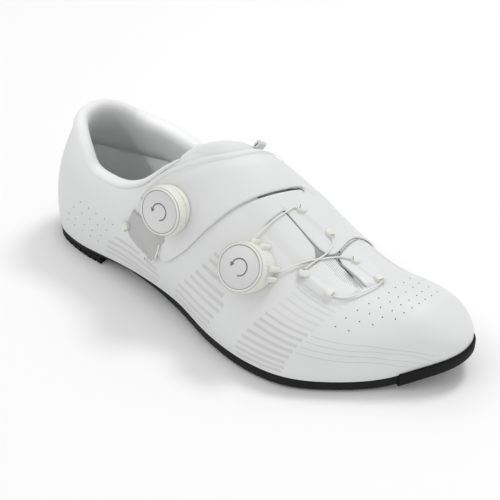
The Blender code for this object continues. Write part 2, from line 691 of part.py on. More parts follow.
def build_bumper(material):
    """Moulded rim round the toe, from the lateral step to the same place on the medial side."""
    spread = [BUMPER_START] + [s for s in stations_between(7, 24, 14) if s > BUMPER_START + 0.008]
    station = np.array(spread + spread[-2::-1])
    side = np.where(np.arange(len(station)) < len(spread), -1.0, 1.0)
    foot = shoe_point(station, side)
    tall = shoe_point(station, 0.0)[:, 2] - foot[:, 2]
    rim = side * (1 - BUMPER_RISE / (1.5 * tall))
    high = shoe_point(station, rim)
    normal = shoe_normal(station, rim)
    tangent = np.gradient(foot, axis=0)
    out = np.stack([-tangent[:, 1], tangent[:, 0], 0 * tangent[:, 0]], 1)
    out /= np.linalg.norm(out, axis=1, keepdims=True)
    middle = shoe_point(0.7, -1.0) * 0.5 + shoe_point(0.7, 1.0) * 0.5
    flip = np.sign(np.sum((foot - middle) * out, axis=1))
    out *= flip[:, None]
    low_z = sole_underside(foot[:, 0])
    rings = [high + normal * GAP * 1.5, high + normal * (GAP * 1.5 + 0.6 * BUMPER_WALL)]
    outer = foot + out * (GAP + BUMPER_WALL)
    rings.append(outer.copy())
    lower = outer.copy()
    lower[:, 2] = low_z + GAP
    rings.append(lower)
    under = foot + out * (GAP - CHAMFER)
    under[:, 2] = low_z - GAP - BUMPER_WALL
    rings.append(under)
    lip = foot - out * BUMPER_LIP
    lip_top = lip.copy()
    lip_top[:, 2] = sole_underside(lip[:, 0]) - 2 * GAP
    lip[:, 2] = lip_top[:, 2] - BUMPER_WALL
    rings.append(lip)
    rings.append(lip_top)
    corner = foot + out * GAP
    corner[:, 2] = low_z - GAP
    rings.append(corner)
    seat = foot + out * GAP
    rings.append(seat)
    grid = np.stack(rings + rings[:1], 1)
    verts, faces = [], []
    index = add_grid(verts, faces, grid)
    faces.append(tuple(index[0, :-1]))
    faces.append(tuple(index[-1, :-1]))
    return make_object("toe_bumper", material, verts, faces, 35.0)


def make_place(station, around, turn=0.0, axis=None):
    """A seat on the shoe: its point, its x, y and outward z directions, and where it is on the last."""
    origin = shoe_point(station, around)
    outward = shoe_normal(station, around) if axis is None else np.array(axis, float)
    outward = outward / np.linalg.norm(outward)
    forward = shoe_point(station + 0.002, around) - shoe_point(station - 0.002, around)
    forward = forward - outward * np.dot(forward, outward)
    forward = forward / np.linalg.norm(forward)
    sideways = np.cross(outward, forward)
    angle = math.radians(turn)
    x_axis = forward * math.cos(angle) + sideways * math.sin(angle)
    return origin, x_axis, np.cross(outward, x_axis), outward, station, around


def drop(place, u, v, distance):
    """Points of the surface, moved out by distance, that lie at u, v of a place, seen along its axis."""
    origin, x_axis, y_axis, _, station, around = place
    u = np.asarray(u, float)
    v = np.asarray(v, float)
    s = np.full(u.shape, station)
    a = np.full(u.shape, around)
    distance = np.full(u.shape, distance)
    step_s, step_a = 0.001, 0.002
    for _ in range(8):
        here = shoe_offset(s, a, distance) - origin
        by_s = (shoe_offset(s + step_s, a, distance) - origin - here) / step_s
        by_a = (shoe_offset(s, a + step_a, distance) - origin - here) / step_a
        miss_u = u - here @ x_axis
        miss_v = v - here @ y_axis
        a11, a12, a21, a22 = by_s @ x_axis, by_a @ x_axis, by_s @ y_axis, by_a @ y_axis
        scale = a11 * a22 - a12 * a21
        s = s + (miss_u * a22 - miss_v * a12) / scale
        a = a + (miss_v * a11 - miss_u * a21) / scale
    return shoe_offset(s, a, distance)


def seated_disc(name, material, place, outline, low, top, chamfer):
    """A low block whose underside follows the shoe, low above it, with a flat top at the height top."""
    origin, x_axis, y_axis, outward = place[:4]
    outline = np.array(outline)
    rings = [drop(place, outline[:, 0] * k, outline[:, 1] * k, low) for k in (0.0, 0.5, 1.0)]
    for share, height in ((1.0, top - chamfer), (1 - chamfer / np.abs(outline).max(), top), (0.0, top)):
        flat = origin + np.outer(outline[:, 0] * share, x_axis) + np.outer(outline[:, 1] * share, y_axis)
        rings.append(flat + outward * height)
    grid = np.stack(rings, 1)
    verts, faces = [], []
    add_grid(verts, faces, grid, close_rows=True)
    return make_object(name, material, verts, faces, 35.0)


def turned(name, material, place, height, profile, count):
    """A turned piece on a place: profile is (radius, height above height)."""
    origin, x_axis, y_axis, outward = place[:4]
    angles = np.arange(count) * 2 * math.pi / count
    rings = []
    for angle in angles:
        spoke = x_axis * math.cos(angle) + y_axis * math.sin(angle)
        rings.append([origin + spoke * r + outward * (height + z) for r, z in profile])
    verts, faces = [], []
    add_grid(verts, faces, np.array(rings), close_rows=True)
    return make_object(name, material, verts, faces, 35.0)


def stadium(length, width, count):
    """Outline of a bar with round ends."""
    points = []
    radius = 0.5 * width
    for end in (1, -1):
        for i in range(count + 1):
            angle = math.pi * (i / count - 0.5)
            points.append((end * (0.5 * (length - width) + radius * math.cos(angle)),
                           end * radius * math.sin(angle)))
    return points


def dial_outline(ears, count=24):
    """Round plate with an ear on its rim wherever a lace leaves it, at the given angles in degrees."""
    points = []
    for i in range(count):
        angle = 360.0 * i / count
        radius = BASE_RADIUS
        for ear in ears:
            away = abs((angle - ear + 180.0) % 360.0 - 180.0)
            radius += EAR * max(0.0, 1 - away / 20.0)
        points.append((radius * math.cos(math.radians(angle)), radius * math.sin(math.radians(angle))))
    return points


def build_dial(prefix, base_material, knob_material, place, low, base_height, ears):
    """A lace dial: a plate that follows what it sits on, and a knob with a sunk face."""
    outline = dial_outline(ears)
    seated_disc(prefix + "_dial_base", base_material, place, outline, low, low + base_height, CHAMFER)
    profile = ((0.0, 0.0), (DIAL_RADIUS - CHAMFER, 0.0), (DIAL_RADIUS, CHAMFER),
               (DIAL_RADIUS, 0.5 * DIAL_HEIGHT), (DIAL_TOP, DIAL_HEIGHT - 0.0004),
               (DIAL_TOP - 0.0004, DIAL_HEIGHT), (DIAL_FACE, DIAL_HEIGHT),
               (DIAL_FACE, DIAL_HEIGHT - DIAL_SINK), (0.0, DIAL_HEIGHT - DIAL_SINK))
    turned(prefix + "_dial_knob", knob_material, place, low + base_height + GAP, profile, 24)


def lace_points(route, count):
    """Points of a lace over the shoe, on a smooth curve through the rows of its route."""
    rows = [(float(i), *row) for i, row in enumerate(route)]
    names = ("step", "station", "around", "height")
    at = np.linspace(0, len(route) - 1, count)
    station, around, height = (smooth_table(names, rows, name, at) for name in names[1:])
    return shoe_offset(station, around, height)


def build_lace(name, material, route, count, sides=6):
    """A thin round cable through lace_points, with flat ends."""
    points = lace_points(route, count)
    tangent = np.gradient(points, axis=0)
    tangent /= np.linalg.norm(tangent, axis=1, keepdims=True)
    rings = []
    for point, along in zip(points, tangent):
        side = np.cross(along, (0.0, 0.0, 1.0))
        side /= np.linalg.norm(side)
        up = np.cross(side, along)
        turns = [2 * math.pi * (k + 0.5) / sides for k in range(sides)]
        rings.append([point + LACE_RADIUS * (side * math.cos(t) + up * math.sin(t)) for t in turns])
    grid = np.array(rings)
    grid = np.concatenate([grid, grid[:, :1]], 1)
    verts, faces = [], []
    index = add_grid(verts, faces, grid)
    faces.append(tuple(index[0, :-1]))
    faces.append(tuple(index[-1, :-1]))
    return make_object(name, material, verts, faces, 60.0)


def combine(target, tool, operation):
    """Boolean of target with tool; tool stays as a hidden guide."""
    modifier = target.modifiers.new(operation.lower(), "BOOLEAN")
    modifier.operation = operation
    modifier.object = tool
    tool.hide_render = True
    tool.display_type = "WIRE"


def build_cleat_holes(outsole, material):
    """Three shallow round holes in the forefoot's flat: two behind and a single one ahead of them."""
    verts, faces = [], []
    centres = ((CLEAT_X, 0.5 * CLEAT_SPREAD), (CLEAT_X, -0.5 * CLEAT_SPREAD), (CLEAT_X + CLEAT_REACH, 0.0))
    for x, y in centres:
        first = len(verts)
        for z in (-CLEAT_HOLE_DEPTH, CLEAT_HOLE_DEPTH):
            for i in range(CLEAT_SIDES):
                angle = 2 * math.pi * i / CLEAT_SIDES
                verts.append((x + CLEAT_HOLE_RADIUS * math.cos(angle),
                              CLEAT_Y + y + CLEAT_HOLE_RADIUS * math.sin(angle), z))
        low = list(range(first, first + CLEAT_SIDES))
        high = [i + CLEAT_SIDES for i in low]
        faces += [tuple(low), tuple(high)]
        for i in range(CLEAT_SIDES):
            k = (i + 1) % CLEAT_SIDES
            faces.append((low[i], low[k], high[k], high[i]))
    cutter = make_object("cleat_hole_cutter", material, verts, faces)
    combine(outsole, cutter, "DIFFERENCE")


def clear_scene():
    for obj in list(bpy.data.objects):
        bpy.data.objects.remove(obj, do_unlink=True)


def main():
    clear_scene()
    white = make_material("white_synthetic", (0.80, 0.81, 0.81), 0.5)
    lining = make_material("padded_lining", (0.78, 0.79, 0.77), 0.8)
    black = make_material("black_sole", (0.02, 0.02, 0.02), 0.5)
    rubber = make_material("black_rubber", (0.015, 0.015, 0.015), 0.8)
    build_upper(white)
    build_cleat_holes(build_outsole(black), black)
    build_insole(lining)
    build_collar(lining)
    build_heel_pad(rubber)
    build_bumper(rubber)
    ivory = make_material("ivory_guide", (0.80, 0.80, 0.74), 0.4)
    grey = make_material("dial_grey", (0.66, 0.66, 0.66), 0.35)
    cable = make_material("white_cable", (0.80, 0.80, 0.78), 0.4)
    panel_top = SEAT + OVERLAY
    cross_panel("instep_strap", white, STRAP, SEAT, SEAT + STRAP_WALL, 0.09, 6)
    cross_panel("medial_flap", white, behind_strap(MEDIAL_FLAP, 4 * GAP), SEAT, panel_top, 0.08, 6)
    cross_panel("lateral_overlay", white, LATERAL_OVERLAY, SEAT, panel_top, 0.04, 7)
    cross_panel("rear_dial_bracket", grey, BRACKET, SEAT, panel_top, 0.03, 5)
    long_panel("vamp_overlay", white, VAMP_OVERLAY, 1.2 * SEAT, panel_top, 0.012, 8)
    long_panel("medial_overlay", white, MEDIAL_OVERLAY, SEAT, panel_top, 0.012, 8)
    under = -WALL - TONGUE_SEAT
    cross_panel("tongue", lining, TONGUE, under - TONGUE_WALL, under, 0.06, 12)
    outline = stadium(GUIDE_LENGTH, GUIDE_WIDTH, 3)
    low = panel_top + SEAT
    for name, station, around, turn in GUIDES:
        place = make_place(station, around, turn)
        seated_disc(name, ivory, place, outline, low, low + GUIDE_HEIGHT, CHAMFER)
    foot = GAP - WALL - TONGUE_SEAT
    seated_disc("loop_tab", lining, make_place(*LOOP_TAB), stadium(TAB_LENGTH, TAB_WALL, 3),
                foot, foot + TAB_HEIGHT, CHAMFER)
    front = make_place(*FRONT_DIAL, 0.0, FRONT_DIAL_AXIS)
    build_dial("front", ivory, grey, front, SEAT, FRONT_BASE, FRONT_EARS)
    build_dial("rear", ivory, grey, make_place(*REAR_DIAL), 2 * SEAT + STRAP_WALL, REAR_BASE, REAR_EARS)
    build_lace("lace_top", cable, LACE_TOP, 8)
    build_lace("lace_front", cable, LACE_FRONT, 10)
    build_lace("lace_rear", cable, LACE_REAR, 8)
    crossing = build_lace("lace_cross", cable, LACE_CROSS, 11)
    combine(crossing, build_lace("lace_back_guide", cable, LACE_BACK, 14), "UNION")


main()
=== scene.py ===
"""Looks of the right road cycling shoe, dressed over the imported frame.

The upper, sole, panels and trim are built again from the last's own function, finer than the solids,
with rounded edges, raised cable channels, stitches, stripes and holes placed by station and around on it.
The tip of the toe is rounder than on the solids.
Sizes are in metres, in the frame of the solids: X to the toe, Y to the medial side, Z up.
"""
import math

import bmesh
import bpy
import numpy as np
from mathutils import Matrix


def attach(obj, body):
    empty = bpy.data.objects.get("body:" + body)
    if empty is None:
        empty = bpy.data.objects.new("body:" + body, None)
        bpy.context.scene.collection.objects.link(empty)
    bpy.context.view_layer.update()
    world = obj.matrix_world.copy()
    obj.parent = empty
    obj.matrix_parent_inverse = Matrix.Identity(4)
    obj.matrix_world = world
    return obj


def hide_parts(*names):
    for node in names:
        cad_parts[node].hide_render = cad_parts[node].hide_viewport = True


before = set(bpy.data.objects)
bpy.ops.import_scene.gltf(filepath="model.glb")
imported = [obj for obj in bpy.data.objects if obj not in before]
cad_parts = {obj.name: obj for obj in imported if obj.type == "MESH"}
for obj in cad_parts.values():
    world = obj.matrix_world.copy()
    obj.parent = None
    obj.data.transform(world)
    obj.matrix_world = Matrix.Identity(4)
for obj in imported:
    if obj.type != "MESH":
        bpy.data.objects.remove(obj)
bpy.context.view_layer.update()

# Driving sizes of the last
LENGTH = 0.288            # heel back to toe tip along the upper
BALL_WIDTH = 0.097        # width of the bottom edge across the ball
INSTEP_HEIGHT = 0.102     # ridge of the instep above the floor, at half length
WAIST_HEIGHT = 0.012      # bottom edge of the upper above the floor, at the waist
HEEL_RADIUS = 0.0385      # length of the rounded heel end
TOE_LENGTH = 0.081        # length of the rounded toe end, seen from above
NOSE_LENGTH = 0.028       # length of the rounded toe end, seen from the side
TOE_LIP = 0.004           # height of the upper at the toe tip
HEEL_LEAN = 0.0105        # how far the heel's back leans forward, 100 mm up
HEEL_CURL = 0.0120        # further lean that grows with the square of the height
HEEL_BULGE = 0.0036       # swell of the heel's back at mid height
COUNTER_HEIGHT = 0.080    # height that the heel's swell spans
LEAN_REACH = 0.086        # length over which the heel's lean fades out

# Walls, layers and clearances
WALL = 0.0020             # upper
GAP = 0.0003              # clearance between pieces that touch
SEAT = 0.00050            # panels above the upper, which leaves GAP where their facets sag
TONGUE_SEAT = 0.0010      # tongue below the upper's inner face, for the same reason
OVERLAY = 0.0010          # thin panels on the upper
STRAP_WALL = 0.0017       # instep strap
TONGUE_WALL = 0.0040      # padded tongue
INSOLE_WALL = 0.0030      # insole
SOLE_EDGE = 0.0070        # visible edge of the sole plate at the ball
SOLE_FLAT = 0.0           # height of the forefoot's flat spot above the floor
LUG_DEPTH = 0.0034        # grooves between the heel pad's lugs
LUG_PITCH = 0.0046        # distance between lugs
LUG_COUNT = 10
ORIGIN_LUG = 5            # lug that the origin lies under, counted from the heel
GROOVE = 0.0018           # width of a groove at the floor
PAD_START = 0.0028        # heel pad ahead of the heel's back
PAD_INSET = 0.0007        # heel pad inside the sole plate's edge
# Origin ahead of the heel's back, in the middle of its lug's face
HEEL_OFFSET = PAD_START + (ORIGIN_LUG + 0.5) * LUG_PITCH - 0.5 * GROOVE
BUMPER_WALL = 0.0016      # toe bumper
BUMPER_RISE = 0.0012      # bumper above the upper's bottom edge
BUMPER_REACH = 0.0274     # length of the bumper, back from the toe tip
BUMPER_START = 1 - BUMPER_REACH / LENGTH  # station of its ends
BUMPER_LIP = 0.0050       # bumper's return under the sole
# Rounding of its lower corner: inward, below the sole's lower edge
BUMPER_CORNER = ((0.0, -0.0010), (0.0003, 0.0), (0.0009, 0.0010), (0.0018, 0.0017))
ROLL_WIDTH = 0.0072       # collar roll across the wall
ROLL_HEIGHT = 0.0115      # collar roll above the upper's top edge, at the heel
DIAL_RADIUS = 0.0150      # knob
DIAL_HEIGHT = 0.0075      # knob
DIAL_TOP = 0.0141         # radius of the knob's top rim
DIAL_FACE = 0.0130        # radius of the knob's sunk face
DIAL_SINK = 0.0006        # depth of the sunk face
BASE_RADIUS = 0.0146      # plate under a knob
FRONT_BASE = 0.0034       # front plate at its middle, a wedge that turns the dial to the side
REAR_BASE = 0.0018        # rear plate at its middle
EAR = 0.0030              # how far the ear round a lace's exit stands out of the plate
LACE_RADIUS = 0.00065
GUIDE_LENGTH = 0.0068
GUIDE_WIDTH = 0.0046
GUIDE_HEIGHT = 0.0024
CLEAT_HOLE_RADIUS = 0.0045
CLEAT_SPREAD = 0.0360     # between the two rear cleat holes
CLEAT_REACH = 0.0280      # from the rear cleat holes forward to the single one
CLEAT_X = 0.1400          # the rear cleat holes
CLEAT_Y = -0.0050         # middle of the cleat holes
TAB_LENGTH = 0.0090       # fabric tab behind the strap
TAB_HEIGHT = 0.0052

# Sections of the last. Station is a share of LENGTH. Half widths, middle, ridge side and bulges are shares of
# BALL_WIDTH, feather (the bottom edge) of WAIST_HEIGHT and ridge of INSTEP_HEIGHT. Low is how far up the side
# stays upright, as a share of the section's height, and the tops say how flat the instep is on each side.
SECTION_NAMES = ("station", "lateral", "medial", "middle", "feather", "ridge", "ridge_side",
                 "lateral_bulge", "medial_bulge", "low", "lateral_top", "medial_top")
SECTIONS = (
    (0.00, 0.322, 0.335, 0.008, 0.74, 1.280, 0.002, 0.042, 0.042, 0.46, 0.64, 0.64),
    (0.07, 0.306, 0.342, 0.036, 0.71, 1.310, 0.003, 0.042, 0.042, 0.46, 0.64, 0.64),
    (0.16, 0.312, 0.348, 0.030, 0.81, 1.325, 0.003, 0.052, 0.052, 0.46, 0.66, 0.66),
    (0.28, 0.326, 0.342, -0.002, 1.00, 1.280, 0.018, 0.072, 0.064, 0.46, 0.68, 0.67),
    (0.40, 0.362, 0.330, -0.045, 1.00, 1.180, 0.047, 0.093, 0.085, 0.46, 0.67, 0.63),
    (0.52, 0.464, 0.370, -0.074, 0.78, 1.000, 0.085, 0.083, 0.086, 0.46, 0.62, 0.41),
    (0.62, 0.536, 0.436, -0.064, 0.74, 0.787, 0.106, 0.052, 0.068, 0.49, 0.62, 0.50),
    (0.71, 0.543, 0.460, -0.044, 0.76, 0.608, 0.090, 0.042, 0.047, 0.50, 0.66, 0.55),
    (0.80, 0.481, 0.434, 0.018, 0.70, 0.516, 0.073, 0.042, 0.036, 0.50, 0.70, 0.57),
    (0.88, 0.411, 0.394, 0.080, 0.84, 0.502, 0.072, 0.042, 0.042, 0.50, 0.75, 0.70),
    (0.95, 0.350, 0.351, 0.127, 1.44, 0.46, 0.076, 0.042, 0.044, 0.50, 0.80, 0.80),
    (1.00, 0.339, 0.312, 0.131, 2.04, 0.42, 0.074, 0.031, 0.028, 0.50, 0.80, 0.80),
)

# The opening's edge: around is -1 at the lateral bottom edge, 0 on the ridge and 1 at the medial bottom edge.
OPENING_NAMES = ("station", "lateral", "medial")
OPENING = (
    (0.000, -0.515, 0.515),
    (0.030, -0.525, 0.558),
    (0.086, -0.578, 0.612),
    (0.132, -0.636, 0.624),
    (0.190, -0.650, 0.622),
    (0.266, -0.612, 0.642),
    (0.310, -0.545, 0.655),
    (0.360, -0.402, 0.650),
    (0.400, -0.268, 0.600),
    (0.430, -0.240, 0.520),
    (0.470, -0.230, 0.360),
    (0.540, -0.220, 0.140),
    (0.640, -0.210, 0.030),
    (0.700, -0.205, -0.040),
    (0.750, -0.190, -0.105),
    (0.772, -0.150, -0.150),
)
THROAT_END = OPENING[-1][0]
THROAT_AROUND = OPENING[-1][1]

# Sole plate: edge as a share of SOLE_EDGE, belly (how far the middle hangs below the edge) of WAIST_HEIGHT
SOLE_NAMES = ("station", "edge", "belly")
SOLE = (
    (0.00, 0.28, 0.00),
    (0.16, 0.28, 0.00),
    (0.25, 0.12, 0.30),
    (0.33, 0.45, 0.24),
    (0.40, 0.82, 0.12),
    (0.52, 0.92, 0.20),
    (0.62, 1.04, 0.26),
    (0.71, 1.02, 0.28),
    (0.80, 0.95, 0.14),
    (0.88, 0.95, 0.00),
    (1.00, 0.90, 0.00),
)

# Rounding of its lower corner: share of the edge, share of the half width
SOLE_CORNER = ((0.03, 1.0), (0.3, 1.0), (0.62, 0.999), (0.8, 0.996), (0.93, 0.989), (1.0, 0.975))

# Panels on the upper, each a row per section: around, rear station, front station
STRAP = (
    (-0.812, 0.360, 0.376),
    (-0.800, 0.345, 0.388),
    (-0.765, 0.318, 0.405),
    (-0.720, 0.298, 0.422),
    (-0.668, 0.290, 0.440),
    (-0.610, 0.295, 0.455),
    (-0.550, 0.311, 0.469),
    (-0.456, 0.343, 0.490),
    (-0.340, 0.388, 0.514),
    (-0.248, 0.421, 0.534),
    (-0.152, 0.454, 0.554),
    (-0.072, 0.473, 0.569),
    (0.020, 0.491, 0.583),
    (0.150, 0.505, 0.598),
    (0.350, 0.508, 0.603),
    (0.600, 0.492, 0.590),
    (0.820, 0.474, 0.572),
    (0.950, 0.462, 0.560),
)
MEDIAL_FLAP = (
    (-0.362, None, 0.5690),
    (-0.300, None, 0.5751),
    (-0.240, None, 0.5812),
    (-0.200, None, 0.5853),
    (-0.166, None, 0.5898),
    (-0.158, None, 0.5920),
    (-0.156, None, 0.6520),
    (-0.148, None, 0.6770),
    (-0.125, None, 0.6950),
    (-0.090, None, 0.7035),
    (-0.040, None, 0.7050),
    (0.050, None, 0.7040),
    (0.140, None, 0.7050),
    (0.250, None, 0.7110),
    (0.500, None, 0.7240),
    (0.800, None, 0.7350),
    (0.950, None, 0.7400),
)
LATERAL_OVERLAY = (
    (-0.345, 0.573, 0.652),
    (-0.270, 0.581, 0.668),
    (-0.205, 0.588, 0.680),
    (-0.166, 0.594, 0.668),
)
# Grey plate beside the rear dial, on the quarter behind the strap's tip
BRACKET = (
    (-0.840, 0.300, 0.345),
    (-0.812, 0.275, 0.346),
    (-0.780, 0.267, 0.320),
    (-0.740, 0.272, 0.300),
    (-0.700, 0.280, 0.288),
)
# The front panels run along the shoe, so theirs are: station, lateral around, medial around
VAMP_OVERLAY = (
    (0.680, -0.365, -0.290),
    (0.686, -0.370, -0.215),
    (0.694, -0.372, -0.150),
    (0.706, -0.372, -0.112),
    (0.728, -0.370, -0.124),
    (0.745, -0.366, -0.124),
    (0.762, -0.350, -0.126),
    (0.778, -0.300, -0.142),
    (0.788, -0.250, -0.165),
)
MEDIAL_OVERLAY = (
    (0.712, -0.092, 0.110),
    (0.728, -0.109, 0.130),
    (0.745, -0.109, 0.130),
    (0.765, -0.112, 0.120),
    (0.785, -0.125, 0.100),
    (0.803, -0.110, 0.070),
    (0.813, -0.070, 0.020),
)
TONGUE = (
    (-0.400, 0.430, 0.560),
    (-0.370, 0.382, 0.600),
    (-0.345, 0.368, 0.640),
    (-0.291, 0.378, 0.700),
    (-0.218, 0.394, 0.775),
    (-0.172, 0.408, 0.782),
    (-0.128, 0.420, 0.786),
    (-0.076, 0.433, 0.790),
    (-0.004, 0.453, 0.785),
    (0.050, 0.463, 0.775),
    (0.104, 0.471, 0.750),
    (0.160, 0.474, 0.710),
    (0.220, 0.482, 0.660),
    (0.280, 0.500, 0.600),
)

# Where the small parts sit on the last: name, station, around, turn in degrees
GUIDES = (
    ("lace_guide_a", 0.610, -0.080, 40.0),
    ("lace_guide_b", 0.672, -0.036, 30.0),
    ("lace_guide_c", 0.678, -0.316, 35.0),
    ("lace_guide_d", 0.738, -0.304, 25.0),
    ("lace_guide_e", 0.800, -0.036, 20.0),
    ("lace_guide_f", 0.738, -0.036, 15.0),
    ("rear_guide_1", 0.266, -0.776, 60.0),
    ("rear_guide_2", 0.324, -0.846, 20.0),
)
FRONT_DIAL = (0.582, -0.507)
FRONT_DIAL_AXIS = (0.0, -0.81, 0.58)
REAR_DIAL = (0.386, -0.558)
FRONT_EARS = (30.0, 105.0)
REAR_EARS = (200.0, 250.0)
LOOP_TAB = (0.480, 0.150, 75.0)

# Heights of a cable's middle above the last
ON_PANEL = SEAT + OVERLAY + GAP + LACE_RADIUS
ON_STRAP = 2 * SEAT + STRAP_WALL + GAP + LACE_RADIUS

# Collar roll: its height on each side as a share of ROLL_HEIGHT
ROLL_NAMES = ("station", "lateral", "medial")
ROLL = (
    (0.00, 1.00, 1.00),
    (0.08, 0.66, 1.00),
    (0.16, 0.42, 0.66),
    (0.30, 0.34, 0.60),
    (0.36, 0.30, 0.46),
    (0.43, 0.26, 0.26),
)

# Camera, at the photograph's angle
CAMERA_AZIMUTH = 32.08
CAMERA_ELEVATION = 37.95
CAMERA_ROLL = 1.81
CAMERA_DISTANCE = 0.9164
CAMERA_TARGET = (0.144 - HEEL_OFFSET, 0.0, 0.045)
CAMERA_LENS = 108.58
CAMERA_SENSOR = 36.0
CAMERA_SHIFT = (-0.0026, -0.0164)
CAMERA_REACH = 20.0
FLOOR_SIZE = 4.0          # half the floor's side

# Light: name, place, size and power of the area lights
WORLD_LIGHT = 0.75
LIGHT_TARGET = (0.11, 0.0, 0.03)
LIGHTS = (
    ("key", (0.33, 0.46, 1.23), (0.30, 0.30), 5.0),
    ("fill", (-0.35, -0.72, 1.10), (0.6, 0.6), 1.3),
)

# A narrow light into the opening: place, target, cone in degrees, radius and power
INNER_LIGHT = ((-0.07, -0.36, 0.50), (0.040, 0.030, 0.072), 10.5, 0.03, 6.0)

# From here on, sizes that only the looks use. Panels and the channels on them
EDGE = 0.0010             # rounding of a panel's edge
SUNK = 0.0002             # depth of a blended border below the skin
SOFT = 0.0045             # width of a panel's faded border
ROW_REACH = 0.0015        # columns of a panel's grid this close to a row of its table are left out
STRAP_SLOPE = 0.012       # over which the strap grows to its full height from its rear edge
SOLE_FADE = (0.94, 0.78)  # around, where panels sink into the skin above the medial sole
LINER_DEPTH = 0.0036      # lining under the strap's rear edge
LINER_HEIGHTS = (0.0001, 0.0004)  # thin cloth or skin between panels
CHANNEL_HEIGHT = 0.0010   # raised cable channels
CHANNEL_WIDTH = 0.0030    # their half width
TIP_STATION = 0.994       # normals ahead of it are taken here

# Joint of strap and flap, which are one skin from the end of the slit on
JOINT_START = 0.042       # around, at the end of the slit
JOINT_END = 0.93          # and near the medial sole
JOINT_REAR = 0.004        # how far its skin runs over the strap
JOINT_FRONT = 0.014       # and over the flap
JOINT_SKIN = 0.0001       # its height above them
JOINT_RISE = (0.008, 0.12)  # around, over which it grows at the slit: on the strap, and further on the flap

# Collar, heel lugs, tab, cables and the painted shade in the guides' mouths
RIM_END = 0.378           # lateral end of the collar's soft rim
ROLL_TAPER = 0.030        # over which the collar's ends thin out
ROLL_BEND = 3.0           # how much the collar's inside curves with the wall, in 1/m
LUG_SOFT = 0.0003         # rounding of a lug along the shoe
LUG_CORNER = 0.0009       # and of its outer corners
TAB_FOLD = 0.0015         # half thickness of the folded tab
CABLE_RADIUS = 0.00050
MOUTH_SHADE_LENGTH = 0.0026     # painted shade in a guide's mouth, its length across the cable
MOUTH_SHADE_WIDTH = 0.0007

# Dials and the grey plate under the rear one
GRIPS = 40                # ridges round a knob
GRIP_DEPTH = 0.00016
LUG_TURN = 11.0           # lugs on both sides of a lace's exit, in degrees
LUG_SPREAD = 7.0          # half width of a lug, in degrees
GROOVE_SHADE = 0.0004             # painted shade of the grooves: dark rings round a dial's face and top
MARK_RADIUS = 0.0050      # turning mark on a dial
MARK_WIDTH = 0.0008
MARK_START = -60.0
MARK_END = 190.0
ARROW_LENGTH = 0.0026
ARROW_WIDTH = 0.0030
PLATE_TOP = SEAT + STRAP_WALL + 0.0004
PLATE_EDGE = 0.0004
PLATE_LINE = 0.0072       # round line on the plate, outside the dial
PLATE_ARC = 42.0          # half of it, in degrees
PLATE_SIDE = (0.300, -0.760)  # station and around that its middle points to

# Printed lines, stitches and holes
PRINT = 0.00004           # height of a printed line or stripe
LINE_WIDTH = 0.00032
HOLE_RADIUS = 0.00042
MESH_RADIUS = 0.00026     # pinholes of the mesh window
MESH_STATION_STEP = 0.00365
MESH_AROUND_STEP = 0.0094
SEAM_INSET = 0.0032       # strap's seam from its rear edge
STITCH_LENGTH = 0.0012
STITCH_PITCH = 0.0019
STITCH_WIDTH = 0.00035

# Section of the padded collar, from the outer seam over the roll and down inside: out and rise are shares of
# ROLL_WIDTH and of the roll's height at that station, sink is a length below the upper's edge
COLLAR_PROFILE = (
    (0.02, 0.02, 0.0),
    (0.12, 0.16, 0.0),
    (0.17, 0.38, 0.0),
    (0.12, 0.62, 0.0),
    (-0.03, 0.84, 0.0),
    (-0.27, 0.98, 0.0),
    (-0.55, 1.00, 0.0),
    (-0.83, 0.88, 0.0),
    (-1.03, 0.62, 0.0),
    (-1.13, 0.28, 0.0),
    (-1.14, -0.05, 0.0),
    (-1.08, -0.35, -0.002),
    (-0.95, -0.60, -0.006),
    (-0.75, -0.80, -0.012),
    (-0.50, -0.90, -0.018),
    (-0.36, -0.90, -0.019),
    (-0.31, -0.85, -0.015),
    (-0.31, -0.50, -0.006),
    (-0.31, 0.00, 0.0),
)
# Pale skin under the front edge of the strap, beside the top cable
PALE_LINER = (
    (-0.290, 0.568, 0.602),
    (-0.250, 0.572, 0.606),
    (-0.190, 0.578, 0.610),
    (-0.168, 0.582, 0.602),
)
# Grey plate between the rear dial and its bracket
SEAT_PLATE = (
    (-0.840, 0.334, 0.348),
    (-0.812, 0.333, 0.360),
    (-0.780, 0.308, 0.368),
    (-0.740, 0.290, 0.375),
    (-0.700, 0.282, 0.385),
    (-0.682, 0.287, 0.385),
)
# Grey cloth in the gap between the front panels, its grey partly the cloth's own and partly painted shade
# under the panels' edges
GAP_SHADE_LINER = (
    (-0.215, 0.640, 0.708),
    (-0.185, 0.600, 0.712),
    (-0.120, 0.600, 0.714),
    (-0.060, 0.660, 0.714),
)

# Upper half of a guide and of a dial's plate: share of the outline, share of the height
GUIDE_DOME = ((1.0, 0.45), (0.97, 0.68), (0.88, 0.86), (0.7, 0.96), (0.4, 1.0), (0.0, 1.0))
PLATE_SHAPE = ((1.0, 0.72), (0.99, 0.9), (0.965, 1.0), (0.0, 1.0))

# Mesh window in the vamp overlay: station, lateral around, medial around
MESH_WINDOW = (
    (0.697, -0.186, -0.130),
    (0.720, -0.188, -0.132),
    (0.744, -0.190, -0.132),
    (0.762, -0.186, -0.134),
    (0.776, -0.166, -0.142),
)
